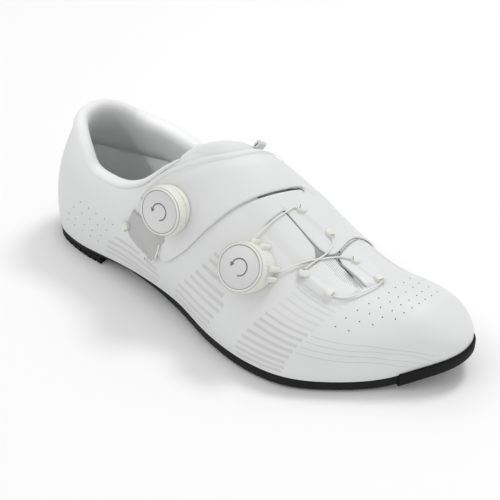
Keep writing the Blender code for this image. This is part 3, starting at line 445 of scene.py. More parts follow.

# Dark lines between the front panels, the cloth's own grey in the gaps with painted shadow under the panels'
# edges: places (station, around), height above the last and width
GAP_SHADOW_LINES = (
    (((0.592, -0.161), (0.612, -0.161), (0.634, -0.161), (0.652, -0.161)), 0.0003, 0.0009),
    (((0.652, -0.162), (0.662, -0.161), (0.672, -0.158)), 0.0003, 0.0018),
    (((0.672, -0.156), (0.690, -0.144), (0.702, -0.122), (0.7085, -0.092)), 0.0003, 0.0008),
    (((0.7085, -0.092), (0.7095, -0.060), (0.7085, -0.020), (0.7085, 0.050), (0.7100, 0.200)),
     0.0006, 0.0005),
    (((0.572, -0.050), (0.580, -0.010), (0.5845, 0.018), (0.588, 0.032), (0.594, 0.028)), 0.0018, 0.0010),
    (((0.704, -0.112), (0.712, -0.118), (0.728, -0.118), (0.745, -0.118)), 0.0017, 0.0008),
    (((0.745, -0.118), (0.762, -0.121), (0.776, -0.130), (0.784, -0.136)), 0.0017, 0.0012),
)
# Fine double line beside the lower lateral guides
DOUBLE_LINES = (
    ((0.672, -0.376), (0.708, -0.371), (0.744, -0.364)),
    ((0.674, -0.360), (0.710, -0.354), (0.744, -0.348)),
)
# Stripes on the medial side, each from one (station, around) to another, and its width
STRIPES_MEDIAL = (
    ((0.734, 0.260), (0.816, 0.288), 0.0009),
    ((0.740, 0.300), (0.822, 0.332), 0.0010),
    ((0.738, 0.350), (0.820, 0.384), 0.0012),
    ((0.736, 0.400), (0.818, 0.436), 0.0014),
    ((0.734, 0.452), (0.816, 0.488), 0.0015),
    ((0.732, 0.504), (0.812, 0.540), 0.0017),
    ((0.730, 0.556), (0.808, 0.592), 0.0018),
    ((0.728, 0.608), (0.804, 0.644), 0.0020),
    ((0.726, 0.660), (0.800, 0.696), 0.0020),
    ((0.724, 0.712), (0.796, 0.748), 0.0020),
    ((0.722, 0.764), (0.792, 0.800), 0.0020),
)

# Cable runs: station, around, height above the last
CABLE_TOP = (
    (0.570, -0.384, ON_PANEL),
    (0.581, -0.280, ON_PANEL),
    (0.589, -0.205, ON_PANEL),
    (0.594, -0.160, ON_PANEL),
    (0.598, -0.118, ON_PANEL),
    (0.606, -0.086, ON_PANEL),
)
CABLE_CROSS = (
    (0.678, -0.044, ON_PANEL),
    (0.687, -0.064, ON_PANEL),
    (0.690, -0.104, ON_PANEL),
    (0.690, -0.144, ON_PANEL),
    (0.686, -0.192, ON_PANEL + LACE_RADIUS),
    (0.680, -0.248, ON_PANEL),
    (0.677, -0.276, ON_PANEL),
    (0.675, -0.306, ON_PANEL),
)
CABLE_BACK = (
    (0.732, -0.050, ON_PANEL),
    (0.723, -0.068, ON_PANEL),
    (0.712, -0.096, ON_PANEL),
    (0.686, -0.196, ON_PANEL),
    (0.676, -0.236, ON_PANEL),
    (0.662, -0.300, ON_PANEL),
    (0.648, -0.368, ON_PANEL),
    (0.638, -0.410, ON_PANEL),
    (0.628, -0.440, ON_PANEL),
)
CABLE_FRONT = (
    (0.744, -0.304, ON_PANEL),
    (0.754, -0.298, ON_PANEL),
    (0.766, -0.278, ON_PANEL),
    (0.779, -0.238, ON_PANEL),
    (0.791, -0.180, ON_PANEL),
    (0.801, -0.120, ON_PANEL),
    (0.808, -0.070, ON_PANEL),
    (0.806, -0.045, ON_PANEL),
)
CABLE_REAR = (
    (0.375, -0.730, ON_STRAP),
    (0.371, -0.765, ON_STRAP),
    (0.365, -0.798, ON_STRAP),
    (0.357, -0.828, ON_PANEL),
    (0.345, -0.848, ON_PANEL),
    (0.332, -0.848, ON_PANEL),
)

CABLES = (CABLE_TOP, CABLE_CROSS, CABLE_BACK, CABLE_FRONT, CABLE_REAR)

# Printed stripes, each from one (station, around) to another, and its width
STRIPES_PALE = (
    ((0.754, -0.312), (0.778, -0.300), 0.0009),
    ((0.750, -0.348), (0.772, -0.340), 0.0010),
    ((0.680, -0.394), (0.766, -0.380), 0.0011),
    ((0.678, -0.432), (0.760, -0.420), 0.0012),
    ((0.672, -0.480), (0.754, -0.464), 0.0013),
    ((0.664, -0.528), (0.750, -0.508), 0.0014),
    ((0.656, -0.576), (0.744, -0.556), 0.0015),
)
STRIPES_FRONT = (
    ((0.646, -0.624), (0.738, -0.600), 0.0016),
    ((0.638, -0.672), (0.732, -0.648), 0.0018),
    ((0.630, -0.716), (0.726, -0.700), 0.0019),
    ((0.620, -0.772), (0.722, -0.748), 0.0020),
    ((0.610, -0.824), (0.718, -0.800), 0.0021),
    ((0.602, -0.876), (0.712, -0.852), 0.0021),
    ((0.598, -0.920), (0.712, -0.900), 0.0021),
    ((0.600, -0.964), (0.706, -0.944), 0.0021),
)
# The rear ones bend with the quarter: places and width
STRIPES_REAR = (
    (((0.508, -0.568), (0.522, -0.566)), 0.0020),
    (((0.500, -0.608), (0.532, -0.604)), 0.0022),
    (((0.488, -0.655), (0.542, -0.650)), 0.0025),
    (((0.474, -0.708), (0.552, -0.703)), 0.0026),
    (((0.460, -0.755), (0.523, -0.748), (0.556, -0.747)), 0.0026),
    (((0.442, -0.808), (0.493, -0.795), (0.548, -0.792)), 0.0026),
    (((0.422, -0.866), (0.477, -0.854), (0.536, -0.847)), 0.0026),
    (((0.410, -0.916), (0.465, -0.906), (0.524, -0.896)), 0.0024),
    (((0.406, -0.956), (0.461, -0.948), (0.516, -0.940)), 0.0020),
    (((0.221, -0.870), (0.279, -0.874), (0.350, -0.896)), 0.0022),
    (((0.201, -0.906), (0.263, -0.907), (0.360, -0.926)), 0.0022),
    (((0.195, -0.938), (0.250, -0.942), (0.350, -0.960)), 0.0019),
    (((0.188, -0.964), (0.251, -0.967), (0.340, -0.978)), 0.0014),
)
# Fine lines round the toe
CONTOURS = (
    ((0.744, -0.596), (0.834, -0.584), (0.868, -0.600), (0.904, -0.636), (0.934, -0.684), (0.970, -0.792)),
    ((0.738, -0.644), (0.838, -0.644), (0.872, -0.652), (0.928, -0.732), (0.968, -0.960)),
    ((0.734, -0.692), (0.840, -0.696), (0.874, -0.720), (0.918, -0.804), (0.950, -0.944)),
    ((0.728, -0.744), (0.800, -0.752), (0.874, -0.776), (0.936, -0.948)),
)
# Pinholes, each a (station, around)
HOLES_TOE = (
    ((0.778, -0.472), (0.788, -0.388), (0.800, -0.304), (0.812, -0.224), (0.822, -0.156), (0.832, -0.084),
     (0.836, -0.020), (0.842, 0.064), (0.844, 0.160)),
    ((0.804, -0.472), (0.814, -0.380), (0.824, -0.300), (0.836, -0.224), (0.846, -0.156), (0.854, -0.092),
     (0.860, -0.024), (0.864, 0.056), (0.866, 0.148), (0.864, 0.272)),
    ((0.840, -0.384), (0.850, -0.304), (0.860, -0.228), (0.868, -0.152), (0.876, -0.084), (0.882, -0.012),
     (0.884, 0.056), (0.886, 0.164)),
    ((0.874, -0.296), (0.882, -0.216), (0.890, -0.144), (0.896, -0.076), (0.900, -0.008), (0.904, 0.068),
     (0.906, 0.164)),
)
HOLES_HEEL = (
    (0.118, -0.792), (0.094, -0.836), (0.144, -0.800), (0.122, -0.840), (0.166, -0.808), (0.074, -0.884),
    (0.146, -0.848), (0.100, -0.884), (0.192, -0.812), (0.068, -0.920), (0.128, -0.888), (0.170, -0.856),
    (0.218, -0.816), (0.094, -0.920), (0.152, -0.896), (0.196, -0.860), (0.120, -0.924), (0.144, -0.928),
    (0.178, -0.900), (0.166, -0.936),
)


def unit(vectors):
    """The same directions with length 1."""
    return vectors / np.maximum(np.linalg.norm(vectors, axis=-1, keepdims=True), 1e-12)


def eased(value, start=0.0, end=1.0):
    """0 up to start and 1 from end on, with a soft change between them."""
    share = np.clip((value - start) / (end - start), 0, 1)
    return share * share * (3 - 2 * share)


def curve(places, values, tangents, at):
    """Values of a curve through (place, value) rows with the slopes of tangents."""
    steps = np.diff(places)
    row = np.clip(np.searchsorted(places, at) - 1, 0, len(steps) - 1)
    step = steps[row]
    u = (at - places[row]) / step
    return (values[row] * (1 + 2 * u) * (1 - u) ** 2 + tangents[row] * step * u * (1 - u) ** 2
            + values[row + 1] * u * u * (3 - 2 * u) + tangents[row + 1] * step * u * u * (u - 1))


def smooth_table(names, rows, column, at):
    """Values of one column of a table, on a smooth curve through its rows."""
    stations = np.array([row[0] for row in rows])
    values = np.array([row[names.index(column)] for row in rows])
    steps = np.diff(stations)
    slopes = np.diff(values) / steps
    tangents = np.empty_like(values)
    tangents[0] = slopes[0]
    tangents[-1] = slopes[-1]
    tangents[1:-1] = (steps[:-1] * slopes[1:] + steps[1:] * slopes[:-1]) / (steps[:-1] + steps[1:])
    return curve(stations, values, tangents, np.asarray(at, float))


def section(column, station):
    """Values of one column of SECTIONS."""
    return smooth_table(SECTION_NAMES, SECTIONS, column, station)


def rounded(share, power):
    """A rounded end: 0 at share 1, 1 at share 0, as a superellipse."""
    return (1 - np.clip(share, 0, 1) ** power) ** (1 / power)


def end_width(station):
    """How much of the width is left towards the rounded heel and toe."""
    heel = rounded(1 - station * LENGTH / HEEL_RADIUS, 2.0)
    toe = rounded(1 - (1 - station) * LENGTH / TOE_LENGTH, 2.25)
    return heel * toe


def shoe_point(station, around):
    """Outer surface of the upper, unbroken: around runs -1 lateral edge, 0 ridge, 1 medial edge."""
    station, around = np.broadcast_arrays(np.asarray(station, float), np.asarray(around, float))
    lateral = around < 0
    side = np.where(lateral, -1.0, 1.0)
    left = end_width(station)
    half = np.where(lateral, section("lateral", station), section("medial", station)) * BALL_WIDTH * left
    bulge = np.where(lateral, section("lateral_bulge", station), section("medial_bulge", station))
    bulge = bulge * BALL_WIDTH * np.sqrt(left)
    top = np.where(lateral, section("lateral_top", station), section("medial_top", station))
    middle = section("middle", station) * BALL_WIDTH
    ridge_y = middle + (section("ridge_side", station) * BALL_WIDTH - middle) * left
    low_z = section("feather", station) * WAIST_HEIGHT
    nose = rounded(1 - (1 - station) * LENGTH / NOSE_LENGTH, 2.2)
    ridge_z = low_z + TOE_LIP + (section("ridge", station) * INSTEP_HEIGHT - low_z - TOE_LIP) * nose
    height = ridge_z - low_z
    v = 1 - np.abs(around)
    edge_y = middle + side * half
    weights = ((1 - v) ** 3, 3 * v * (1 - v) ** 2, 3 * v * v * (1 - v), v ** 3)
    ys = (edge_y, edge_y + side * 1.6 * bulge, ridge_y + side * top * (half + bulge), ridge_y)
    zs = (low_z, low_z + section("low", station) * height, ridge_z, ridge_z)
    y = sum(w * q for w, q in zip(weights, ys))
    z = sum(w * q for w, q in zip(weights, zs))
    rise = z - low_z
    fade = np.clip(1 - station * LENGTH / LEAN_REACH, 0, 1) ** 1.5
    lean = HEEL_LEAN * (rise / 0.1) + HEEL_CURL * (rise / 0.1) ** 2
    lean = lean - HEEL_BULGE * np.sin(np.pi * np.clip(rise / COUNTER_HEIGHT, 0, 1))
    x = station * LENGTH - HEEL_OFFSET + fade * lean
    return np.stack([x, y, z], -1)


def shoe_normal(station, around):
    """Outward unit normal of shoe_point."""
    station, around = np.broadcast_arrays(np.asarray(station, float), np.asarray(around, float))
    ds = 0.0015
    da = 0.004
    along = shoe_point(np.minimum(station + ds, 1), around) - shoe_point(np.maximum(station - ds, 0), around)
    low = shoe_point(station, np.maximum(around - da, -1))
    across = shoe_point(station, np.minimum(around + da, 1)) - low
    normal = np.cross(along, across)
    at_end = (station <= 0) | (station >= 1)
    normal[..., 1] = np.where(at_end, 0, normal[..., 1])
    return unit(normal)


def shoe_offset(station, around, distance):
    """A point of the last's surface moved outward by distance."""
    return shoe_point(station, around) + shoe_normal(station, around) * np.asarray(distance)[..., None]


def stations_between(count_heel, count_middle, count_toe):
    """Stations close together where the heel and toe turn."""
    heel = HEEL_RADIUS / LENGTH
    toe = TOE_LENGTH / LENGTH
    first = [heel * (1 - math.cos(0.5 * math.pi * i / count_heel)) for i in range(count_heel)]
    middle = [heel + (1 - heel - toe) * i / count_middle for i in range(count_middle)]
    last = [1 - toe * (1 - math.sin(0.5 * math.pi * i / count_toe)) for i in range(count_toe + 1)]
    return first + middle + last


def steady_table(rows, column, at):
    """Values of one column of a panel's table, on a curve that never overshoots its rows."""
    places = np.array([row[0] for row in rows])
    values = np.array([row[column] for row in rows])
    steps = np.diff(places)
    slopes = np.diff(values) / steps
    tangents = np.zeros_like(values)
    same = slopes[:-1] * slopes[1:] > 0
    both = np.where(same, slopes[:-1] + slopes[1:], 1.0)
    tangents[1:-1] = np.where(same, 2 * slopes[:-1] * slopes[1:] / both, 0.0)
    tangents[0] = slopes[0]
    tangents[-1] = slopes[-1]
    return curve(places, values, tangents, at)


def behind_strap(rows, clearance):
    """Fill in the rear stations of a panel that starts at the strap's front edge."""
    filled = []
    for around, _, front in rows:
        rear = float(steady_table(STRAP, 2, around)) + clearance / LENGTH
        filled.append((around, rear, front))
    return tuple(filled)


def opening_edges(station):
    """Around values of the opening's lateral and medial edge, meeting beyond the throat."""
    inside = np.minimum(station, THROAT_END)
    lateral = smooth_table(OPENING_NAMES, OPENING, "lateral", inside)
    medial = smooth_table(OPENING_NAMES, OPENING, "medial", inside)
    meet = THROAT_AROUND * (1 - station) / (1 - THROAT_END)
    lateral = np.where(station >= THROAT_END, meet, np.minimum(lateral, medial))
    medial = np.where(station >= THROAT_END, meet, medial)
    return lateral, medial


def make_place(station, around, turn=0.0, axis=None):
    """A seat on the shoe: its point, its x, y and outward z directions, and where it is on the last."""
    origin = shoe_point(station, around)
    outward = unit(shoe_normal(station, around) if axis is None else np.array(axis, float))
    forward = shoe_point(station + 0.002, around) - shoe_point(station - 0.002, around)
    forward = unit(forward - outward * np.dot(forward, outward))
    sideways = np.cross(outward, forward)
    angle = math.radians(turn)
    x_axis = forward * math.cos(angle) + sideways * math.sin(angle)
    return origin, x_axis, np.cross(outward, x_axis), outward, station, around


def drop(place, u, v, distance):
    """Points of the surface, moved out by distance, that lie at u, v of a place, seen along its axis."""
    origin, x_axis, y_axis, _, station, around = place
    u = np.asarray(u, float)
    v = np.asarray(v, float)
    s = np.full(u.shape, station)
    a = np.full(u.shape, around)
    distance = np.full(u.shape, distance)
    step_s, step_a = 0.001, 0.002
    for _ in range(8):
        here = shoe_offset(s, a, distance) - origin
        by_s = (shoe_offset(s + step_s, a, distance) - origin - here) / step_s
        by_a = (shoe_offset(s, a + step_a, distance) - origin - here) / step_a
        miss_u = u - here @ x_axis
        miss_v = v - here @ y_axis
        a11, a12, a21, a22 = by_s @ x_axis, by_a @ x_axis, by_s @ y_axis, by_a @ y_axis
        scale = a11 * a22 - a12 * a21
        s = s + (miss_u * a22 - miss_v * a12) / scale
        a = a + (miss_v * a11 - miss_u * a21) / scale
    return shoe_offset(s, a, distance)


def stadium(length, width, count):
    """Outline of a bar with round ends."""
    points = []
    radius = 0.5 * width
    for end in (1, -1):
        for i in range(count + 1):
            angle = math.pi * (i / count - 0.5)
            points.append((end * (0.5 * (length - width) + radius * math.cos(angle)),
                           end * radius * math.sin(angle)))
    return points


def material(name, colour, roughness, grain=0.0, grain_size=0.0004, tint=0.0, coat=0.0, sheen=0.0, weave=0.0,
             specular=0.5):
    """Principled material with a fine grain, an optional woven bump and a faint drift of colour."""
    made = bpy.data.materials.new(name)
    made.use_nodes = True
    nodes, links = made.node_tree.nodes, made.node_tree.links
    shader = nodes["Principled BSDF"]
    shader.inputs["Base Color"].default_value = (*colour, 1)
    shader.inputs["Roughness"].default_value = roughness
    shader.inputs["Specular IOR Level"].default_value = specular
    shader.inputs["Coat Weight"].default_value = coat
    shader.inputs["Coat Roughness"].default_value = 0.25
    shader.inputs["Sheen Weight"].default_value = sheen
    made.diffuse_color = (*colour, 1)
    place = nodes.new("ShaderNodeTexCoord")
    if tint:
        cloud = nodes.new("ShaderNodeTexNoise")
        cloud.inputs["Scale"].default_value = 45.0
        cloud.inputs["Detail"].default_value = 3.0
        ramp = nodes.new("ShaderNodeValToRGB")
        for end, position, change in zip(ramp.color_ramp.elements, (0.3, 0.7), (1 - tint, 1 + tint)):
            end.position = position
            end.color = (*[min(1, c * change) for c in colour], 1)
        links.new(place.outputs["Object"], cloud.inputs["Vector"])
        links.new(cloud.outputs["Fac"], ramp.inputs["Fac"])
        links.new(ramp.outputs["Color"], shader.inputs["Base Color"])
    bumps = []
    if grain:
        pores = nodes.new("ShaderNodeTexNoise")
        pores.inputs["Scale"].default_value = 0.35 / grain_size
        pores.inputs["Detail"].default_value = 4.0
        bumps.append((pores, grain, grain_size))
    if weave:
        for direction in ("X", "Z"):
            wave = nodes.new("ShaderNodeTexWave")
            wave.bands_direction = direction
            wave.inputs["Scale"].default_value = 1 / weave / 20 * 3
            wave.inputs["Distortion"].default_value = 1.5
            bumps.append((wave, 0.25, weave * 0.4))
    under = None
    for pattern, strength, depth in bumps:
        bump = nodes.new("ShaderNodeBump")
        bump.inputs["Strength"].default_value = strength
        bump.inputs["Distance"].default_value = depth
        links.new(place.outputs["Object"], pattern.inputs["Vector"])
        links.new(pattern.outputs["Fac"], bump.inputs["Height"])
        if under is not None:
            links.new(under.outputs["Normal"], bump.inputs["Normal"])
        under = bump
    if under is not None:
        links.new(under.outputs["Normal"], shader.inputs["Normal"])
    return made


# Each material: colour, roughness and the size of its grain
SKIN = (0.735, 0.742, 0.740)
WHITE = material("white_synthetic_skin", SKIN, 0.5, grain=0.22, grain_size=0.00025, tint=0.012)
STRAP_WHITE = material("strap_skin", SKIN, 0.5, grain=0.22, grain_size=0.00025, tint=0.012)
PANEL_WHITE = material("panel_skin", (0.740, 0.747, 0.745), 0.48, grain=0.15, grain_size=0.0002, tint=0.01)
ROLL_CLOTH = material("collar_cloth", (0.735, 0.740, 0.737), 0.75, grain=0.25, grain_size=0.0003, tint=0.01,
                      sheen=0.15)
# Pale lining cloth, painted lighter than the white skin: painted light on the inside of the wall
LINING_PAINTED_LIGHT = material("lining_cloth_painted_light", (0.86, 0.865, 0.865), 0.9, grain=0.4, tint=0.02, weave=0.0008)
# Footbed painted dark grey: painted shade deep inside the shoe
FOOTBED_PAINTED_SHADE = material("footbed_cloth_painted_shade", (0.17, 0.173, 0.176), 0.9, grain=0.4, weave=0.0008)
BLACK = material("sole_black", (0.006, 0.0064, 0.0064), 0.6, grain=0.15, tint=0.15, specular=0.22)
RUBBER = material("rubber_black", (0.005, 0.005, 0.005), 0.7, grain=0.35, tint=0.1, specular=0.22)
IVORY = material("ivory_plastic", (0.765, 0.765, 0.715), 0.38, grain=0.06, grain_size=0.0003)
FACE = material("dial_face_plastic", (0.69, 0.692, 0.69), 0.3, grain=0.03, grain_size=0.0003, coat=0.3)
GLASS = material("bracket_plastic", (0.45, 0.455, 0.45), 0.25, grain=0.03, grain_size=0.0003, coat=0.4)
MARK = material("mark_grey", (0.16, 0.16, 0.16), 0.5)
CABLE = material("cable_white", (0.77, 0.77, 0.75), 0.38, grain=0.05, grain_size=0.0003)
STRIPE = material("stripe_print", (0.625, 0.615, 0.625), 0.5, grain=0.1, grain_size=0.00025)
STRIPE_PALE = material("stripe_print_pale", (0.685, 0.68, 0.685), 0.5, grain=0.1, grain_size=0.00025)
LINE = material("line_print", (0.58, 0.585, 0.59), 0.55)
HOLE = material("pinhole", (0.12, 0.12, 0.12), 0.9)
HOLE_PALE = material("pinhole_pale", (0.38, 0.38, 0.38), 0.9)
THREAD = material("thread_white", (0.66, 0.66, 0.65), 0.6, grain=0.2, grain_size=0.0002)
# Dark grey, partly the cloth's own colour in the gaps and partly painted shade: under panel edges, in the
# guides' mouths and in the dials' grooves
GAP_CLOTH_AND_SHADE_GREY = material("gap_cloth_and_painted_shade", (0.36, 0.365, 0.37), 0.9, grain=0.4, weave=0.0007)


def add_grid(verts, faces, grid, close_rows=False):
    """Append a grid of points (rows, columns, 3) and its quads; returns the index array."""
    rows, columns = grid.shape[:2]
    index = len(verts) + np.arange(rows * columns).reshape(rows, columns)
    verts.extend(map(tuple, grid.reshape(-1, 3)))
    last = rows if close_rows else rows - 1
    for i in range(last):
        k = (i + 1) % rows
        for j in range(columns - 1):
            faces.append((index[i, j], index[k, j], index[k, j + 1], index[i, j + 1]))
    return index


def add_capped(verts, faces, grid):
    """Append a run of closed rings and the faces of its two ends."""
    index = add_grid(verts, faces, grid)
    faces.append(tuple(index[0, :-1]))
    faces.append(tuple(index[-1, :-1]))


def join_edges(faces, first, second):
    """Quads between two equally long runs of points."""
    for i in range(len(first) - 1):
        faces.append((first[i], first[i + 1], second[i + 1], second[i]))


def slab(name, material, outer, inner):
    """A closed sheet between two grids of equal size."""
    verts, faces = [], []
    a = add_grid(verts, faces, outer)
    b = add_grid(verts, faces, inner)
    for one, two in ((a[0], b[0]), (a[-1], b[-1]), (a[:, 0], b[:, 0]), (a[:, -1], b[:, -1])):
        join_edges(faces, one, two)
    return make_object(name, material, verts, faces)


def finish_piece(obj, slot, *nodes):
    """Let a piece ride with the shoe and hide the solids that it stands for; slot, its finish, is not used.
    """
    if nodes:
        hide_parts(*nodes)
    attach(obj, "root")
    return obj


def make_object(name, materials, verts, faces, smooth_angle=40.0, weld=2e-6, picks=None):
    """One closed mesh object with outward faces, welded where its strips meet; picks are face materials."""
    mesh = bpy.data.meshes.new(name)
    work = bmesh.new()
    made = [work.verts.new(v) for v in verts]
    for number, face in enumerate(faces):
        corners = []
        for i in face:
            if made[i] not in corners:
                corners.append(made[i])
        if len(corners) > 2:
            new = work.faces.new(corners)
            if picks is not None:
                new.material_index = int(picks[number])
    bmesh.ops.remove_doubles(work, verts=work.verts, dist=weld)
    bmesh.ops.dissolve_degenerate(work, edges=work.edges, dist=weld * 0.5)
    loose = [v for v in work.verts if not v.link_faces]
    bmesh.ops.delete(work, geom=loose, context="VERTS")
    bmesh.ops.recalc_face_normals(work, faces=work.faces)
    work.to_mesh(mesh)
    work.free()
    mesh.shade_smooth()
    mesh.set_sharp_from_angle(angle=math.radians(smooth_angle))
    for entry in materials if isinstance(materials, (list, tuple)) else [materials]:
        mesh.materials.append(entry)
    obj = bpy.data.objects.new(name, mesh)
    bpy.context.scene.collection.objects.link(obj)
    return obj


def capped(name, material, grid, smooth_angle):
    """One object from a run of closed rings."""
    verts, faces = [], []
    add_capped(verts, faces, grid)
    return make_object(name, material, verts, faces, smooth_angle)


def closed_rows(name, material, grid, smooth_angle):
    """One object from rows of points that go round and start and end on its axis."""
    verts, faces = [], []
    add_grid(verts, faces, grid, close_rows=True)
    return make_object(name, material, verts, faces, smooth_angle)


def border_distance(points, reach):
    """Distance of each grid point to the grid's border, or reach where that is less."""
    loop = np.concatenate([points[0], points[:, -1], points[-1, ::-1], points[::-1, 0]])
    best = np.full(points.shape[:2], reach)
    for start, end in zip(loop[:-1], loop[1:]):
        along = end - start
        near = np.linalg.norm(points - start, axis=-1) < reach + np.linalg.norm(along)
        if not near.any():
            continue
        away = points[near] - start
        share = np.clip((away @ along) / max(along @ along, 1e-18), 0, 1)
        gap = np.linalg.norm(away - share[:, None] * along, axis=-1)
        best[near] = np.minimum(best[near], gap)
    return best


def edge_shares(count, size, edge):
    """Shares from 0 to 1, close together within edge of both ends."""
    rim = edge / size
    first = rim * np.array([0.0, 0.1, 0.3, 0.6])
    return np.concatenate([first, np.linspace(rim, 1 - rim, count), 1 - first[::-1]])


def fade(pick, start, end):
    """A blend that grows from 0 to 1 while station (pick 0) or around (pick 1) goes from start to end."""
    def blend(station, around):
        return eased((station, around)[pick], start, end)
    return blend


def panel(name, skin, station, around, low, high, edge=EDGE, relief=None, blends=(), soft=None):
    """A sheet on the shoe with rounded edges, or faded ones where soft is 1.

    Relief adds height and blends thin it.
    """
    distance = border_distance(shoe_point(station, around), SOFT)
    share = np.clip(distance / edge, 0, 1)
    rise = 0.3 + 0.7 * np.sqrt(1 - (1 - share) ** 2)
    height = low + (high - low) * rise
    if soft is not None:
        faded = (high + SUNK) * eased(distance / SOFT) - SUNK
        height = height + (faded - height) * soft(station, around)
    if relief is not None:
        height = height + relief(station, around) * share
    for blend in blends:
        height = (height + SUNK) * blend(station, around) - SUNK
    return slab(name, skin, shoe_offset(station, around, height),
                shoe_offset(station, around, np.minimum(low, height - SUNK)))


def row_places(rows, count, size):
    """Places along a panel's first column: close together near both ends, and all its table's rows."""
    spread = rows[0][0] + (rows[-1][0] - rows[0][0]) * edge_shares(count, size, EDGE)
    own = np.array([row[0] for row in rows])
    away = np.abs(spread[:, None] - own).min(axis=1)
    return np.sort(np.concatenate([spread[away > ROW_REACH], own]))


def cross_panel(name, skin, rows, low, high, across_count, along_count, size=(0.10, 0.03), **more):
    """A panel whose rows run around the shoe: around, rear station, front station."""
    around = row_places(rows, across_count, size[0])
    rear = steady_table(rows, 1, around)
    front = steady_table(rows, 2, around)
    share = edge_shares(along_count, size[1], EDGE)
    station = rear[:, None] + (front - rear)[:, None] * share
    return panel(name, skin, station, around[:, None] + 0 * share, low, high, **more)


def long_panel(name, skin, rows, low, high, along_count, across_count, size=(0.03, 0.03), **more):
    """A panel whose rows run along the shoe: station, lateral around, medial around."""
    station = row_places(rows, along_count, size[0])
    lateral = steady_table(rows, 1, station)
    medial = steady_table(rows, 2, station)
    share = edge_shares(across_count, size[1], EDGE)
    around = lateral[:, None] + (medial - lateral)[:, None] * share
    return panel(name, skin, station[:, None] + 0 * share, around, low, high, **more)


def channel(pairs, height, width):
    """Relief of raised channels, each between two places (station, around) of the shoe."""
    ends = [(shoe_point(*a), shoe_point(*b)) for a, b in pairs]

    def relief(station, around):
        points = shoe_point(station, around)
        total = np.zeros(points.shape[:-1])
        for a, b in ends:
            along = b - a
            share = np.clip(((points - a) @ along) / (along @ along), 0, 1)
            away = np.linalg.norm(points - a - share[..., None] * along, axis=-1)
            total = np.maximum(total, np.clip(1 - (away / width) ** 2, 0, 1) ** 1.5)
        return total * height
    return relief


def route_points(route, count):
    """A smooth curve through rows of (station, around, height), given as points and outward normals."""
    rows = [(float(i), *row) for i, row in enumerate(route)]
    names = ("step", "station", "around", "height")
    at = np.linspace(0, len(route) - 1, count)
    station, around, height = (smooth_table(names, rows, name, at) for name in names[1:])
    return shoe_offset(station, around, height), shoe_normal(station, around)


def tube(name, skin, points, radius, sides=12):
    """A round tube through points, with closed ends."""
    tangent = unit(np.gradient(points, axis=0))
    side = unit(np.cross(tangent, (0.0, 0.0, 1.0)))
    up = np.cross(side, tangent)
    turn = np.arange(sides) * 2 * math.pi / sides
    grid = (points[:, None] + radius * (side[:, None] * np.cos(turn)[None, :, None]
                                        + up[:, None] * np.sin(turn)[None, :, None]))
    grid = np.concatenate([grid, grid[:, :1]], 1)
    return capped(name, skin, grid, 60.0)


def ribbon(verts, faces, points, normals, width, thick=PRINT):
    """Append a thin closed band through points, width across, lying on the surface."""
    side = np.cross(normals, unit(np.gradient(points, axis=0)))
    width = np.broadcast_to(np.asarray(width, float), (len(points),))[:, None]
    corners = ((-0.5, 1), (0.0, 1), (0.5, 1), (0.5, -1), (-0.5, -1), (-0.5, 1))
    rings = [points + side * width * across + normals * thick * rise for across, rise in corners]
    add_capped(verts, faces, np.stack(rings, 1))


def disc(verts, faces, point, normal, radius, thick=PRINT, sides=10):
    """Append a small flat disc lying on the surface."""
    side = unit(np.cross(normal, (0.3, 0.1, 1.0)))
    up = np.cross(normal, side)
    turn = np.arange(sides) * 2 * math.pi / sides
    ring = point + radius * (np.cos(turn)[:, None] * side + np.sin(turn)[:, None] * up)
    grid = np.stack([ring + normal * thick, ring - normal * thick], 1)
    grid = np.concatenate([grid, grid[:1]], 0)
    index = add_grid(verts, faces, grid)
    faces.append(tuple(index[:-1, 0]))
    faces.append(tuple(index[:-1, 1]))


def stitches(verts, faces, points, normals, length, pitch, width):
    """Append short raised stitches along a line of points."""
    step = np.linalg.norm(np.diff(points, axis=0), axis=1)
    run = np.concatenate([[0], np.cumsum(step)])
    for start in np.arange(0.5 * pitch, run[-1] - length, pitch):
        at = np.array([start, start + 0.5 * length, start + length])
        here = np.stack([np.interp(at, run, points[:, k]) for k in range(3)], 1)
        normal = np.stack([np.interp(at, run, normals[:, k]) for k in range(3)], 1)
        ribbon(verts, faces, here, normal, width, 0.5 * width)


def build_upper():
    """The upper's wall: white outside, pale lining cloth inside painted lighter than the skin as painted
    light, open at collar, throat and underneath.
    """
    spread = stations_between(26, 110, 40)
    near_end = [THROAT_END - k for k in (0.012, 0.006, 0.003, 0.001, 0.0)]
    spread = [s for s in spread if not THROAT_END - 0.014 < s < THROAT_END + 0.002]
    station = np.array(sorted(spread + near_end))
    lateral, medial = opening_edges(station)
    share = np.linspace(0, 1, 44)
    verts, faces, picks = [], [], []
    for edge, top in ((-1.0, lateral), (1.0, medial)):
        around = edge + (top - edge)[:, None] * share
        stations = station[:, None] + 0 * share
        start = len(faces)
        outer = add_grid(verts, faces, shoe_point(stations, around))
        picks += [0] * (len(faces) - start)
        start = len(faces)
        inward = shoe_normal(np.minimum(stations, TIP_STATION), around)
        inner = add_grid(verts, faces, shoe_point(stations, around) - WALL * inward)
        picks += [1] * (len(faces) - start)
        start = len(faces)
        join_edges(faces, outer[:, 0], inner[:, 0])
        opened = int(np.sum(station <= THROAT_END))
        join_edges(faces, outer[:opened, -1], inner[:opened, -1])
        picks += [0] * (len(faces) - start)
    obj = make_object("upper_skin", [WHITE, LINING_PAINTED_LIGHT], verts, faces, picks=picks)
    return finish_piece(obj, "white_synthetic", "upper")


def sole_sizes(station):
    """Height of the upper's bottom edge, and the sole plate's edge and belly below it."""
    edge = smooth_table(SOLE_NAMES, SOLE, "edge", station) * SOLE_EDGE
    belly = smooth_table(SOLE_NAMES, SOLE, "belly", station) * WAIST_HEIGHT
    return section("feather", station) * WAIST_HEIGHT, edge, belly


def level_ring(middle, side, share, height):
    """Points at a share of the way from the middle to a side, at a height."""
    ring = middle + (side - middle) * share
    ring[:, 2] = height
    return ring


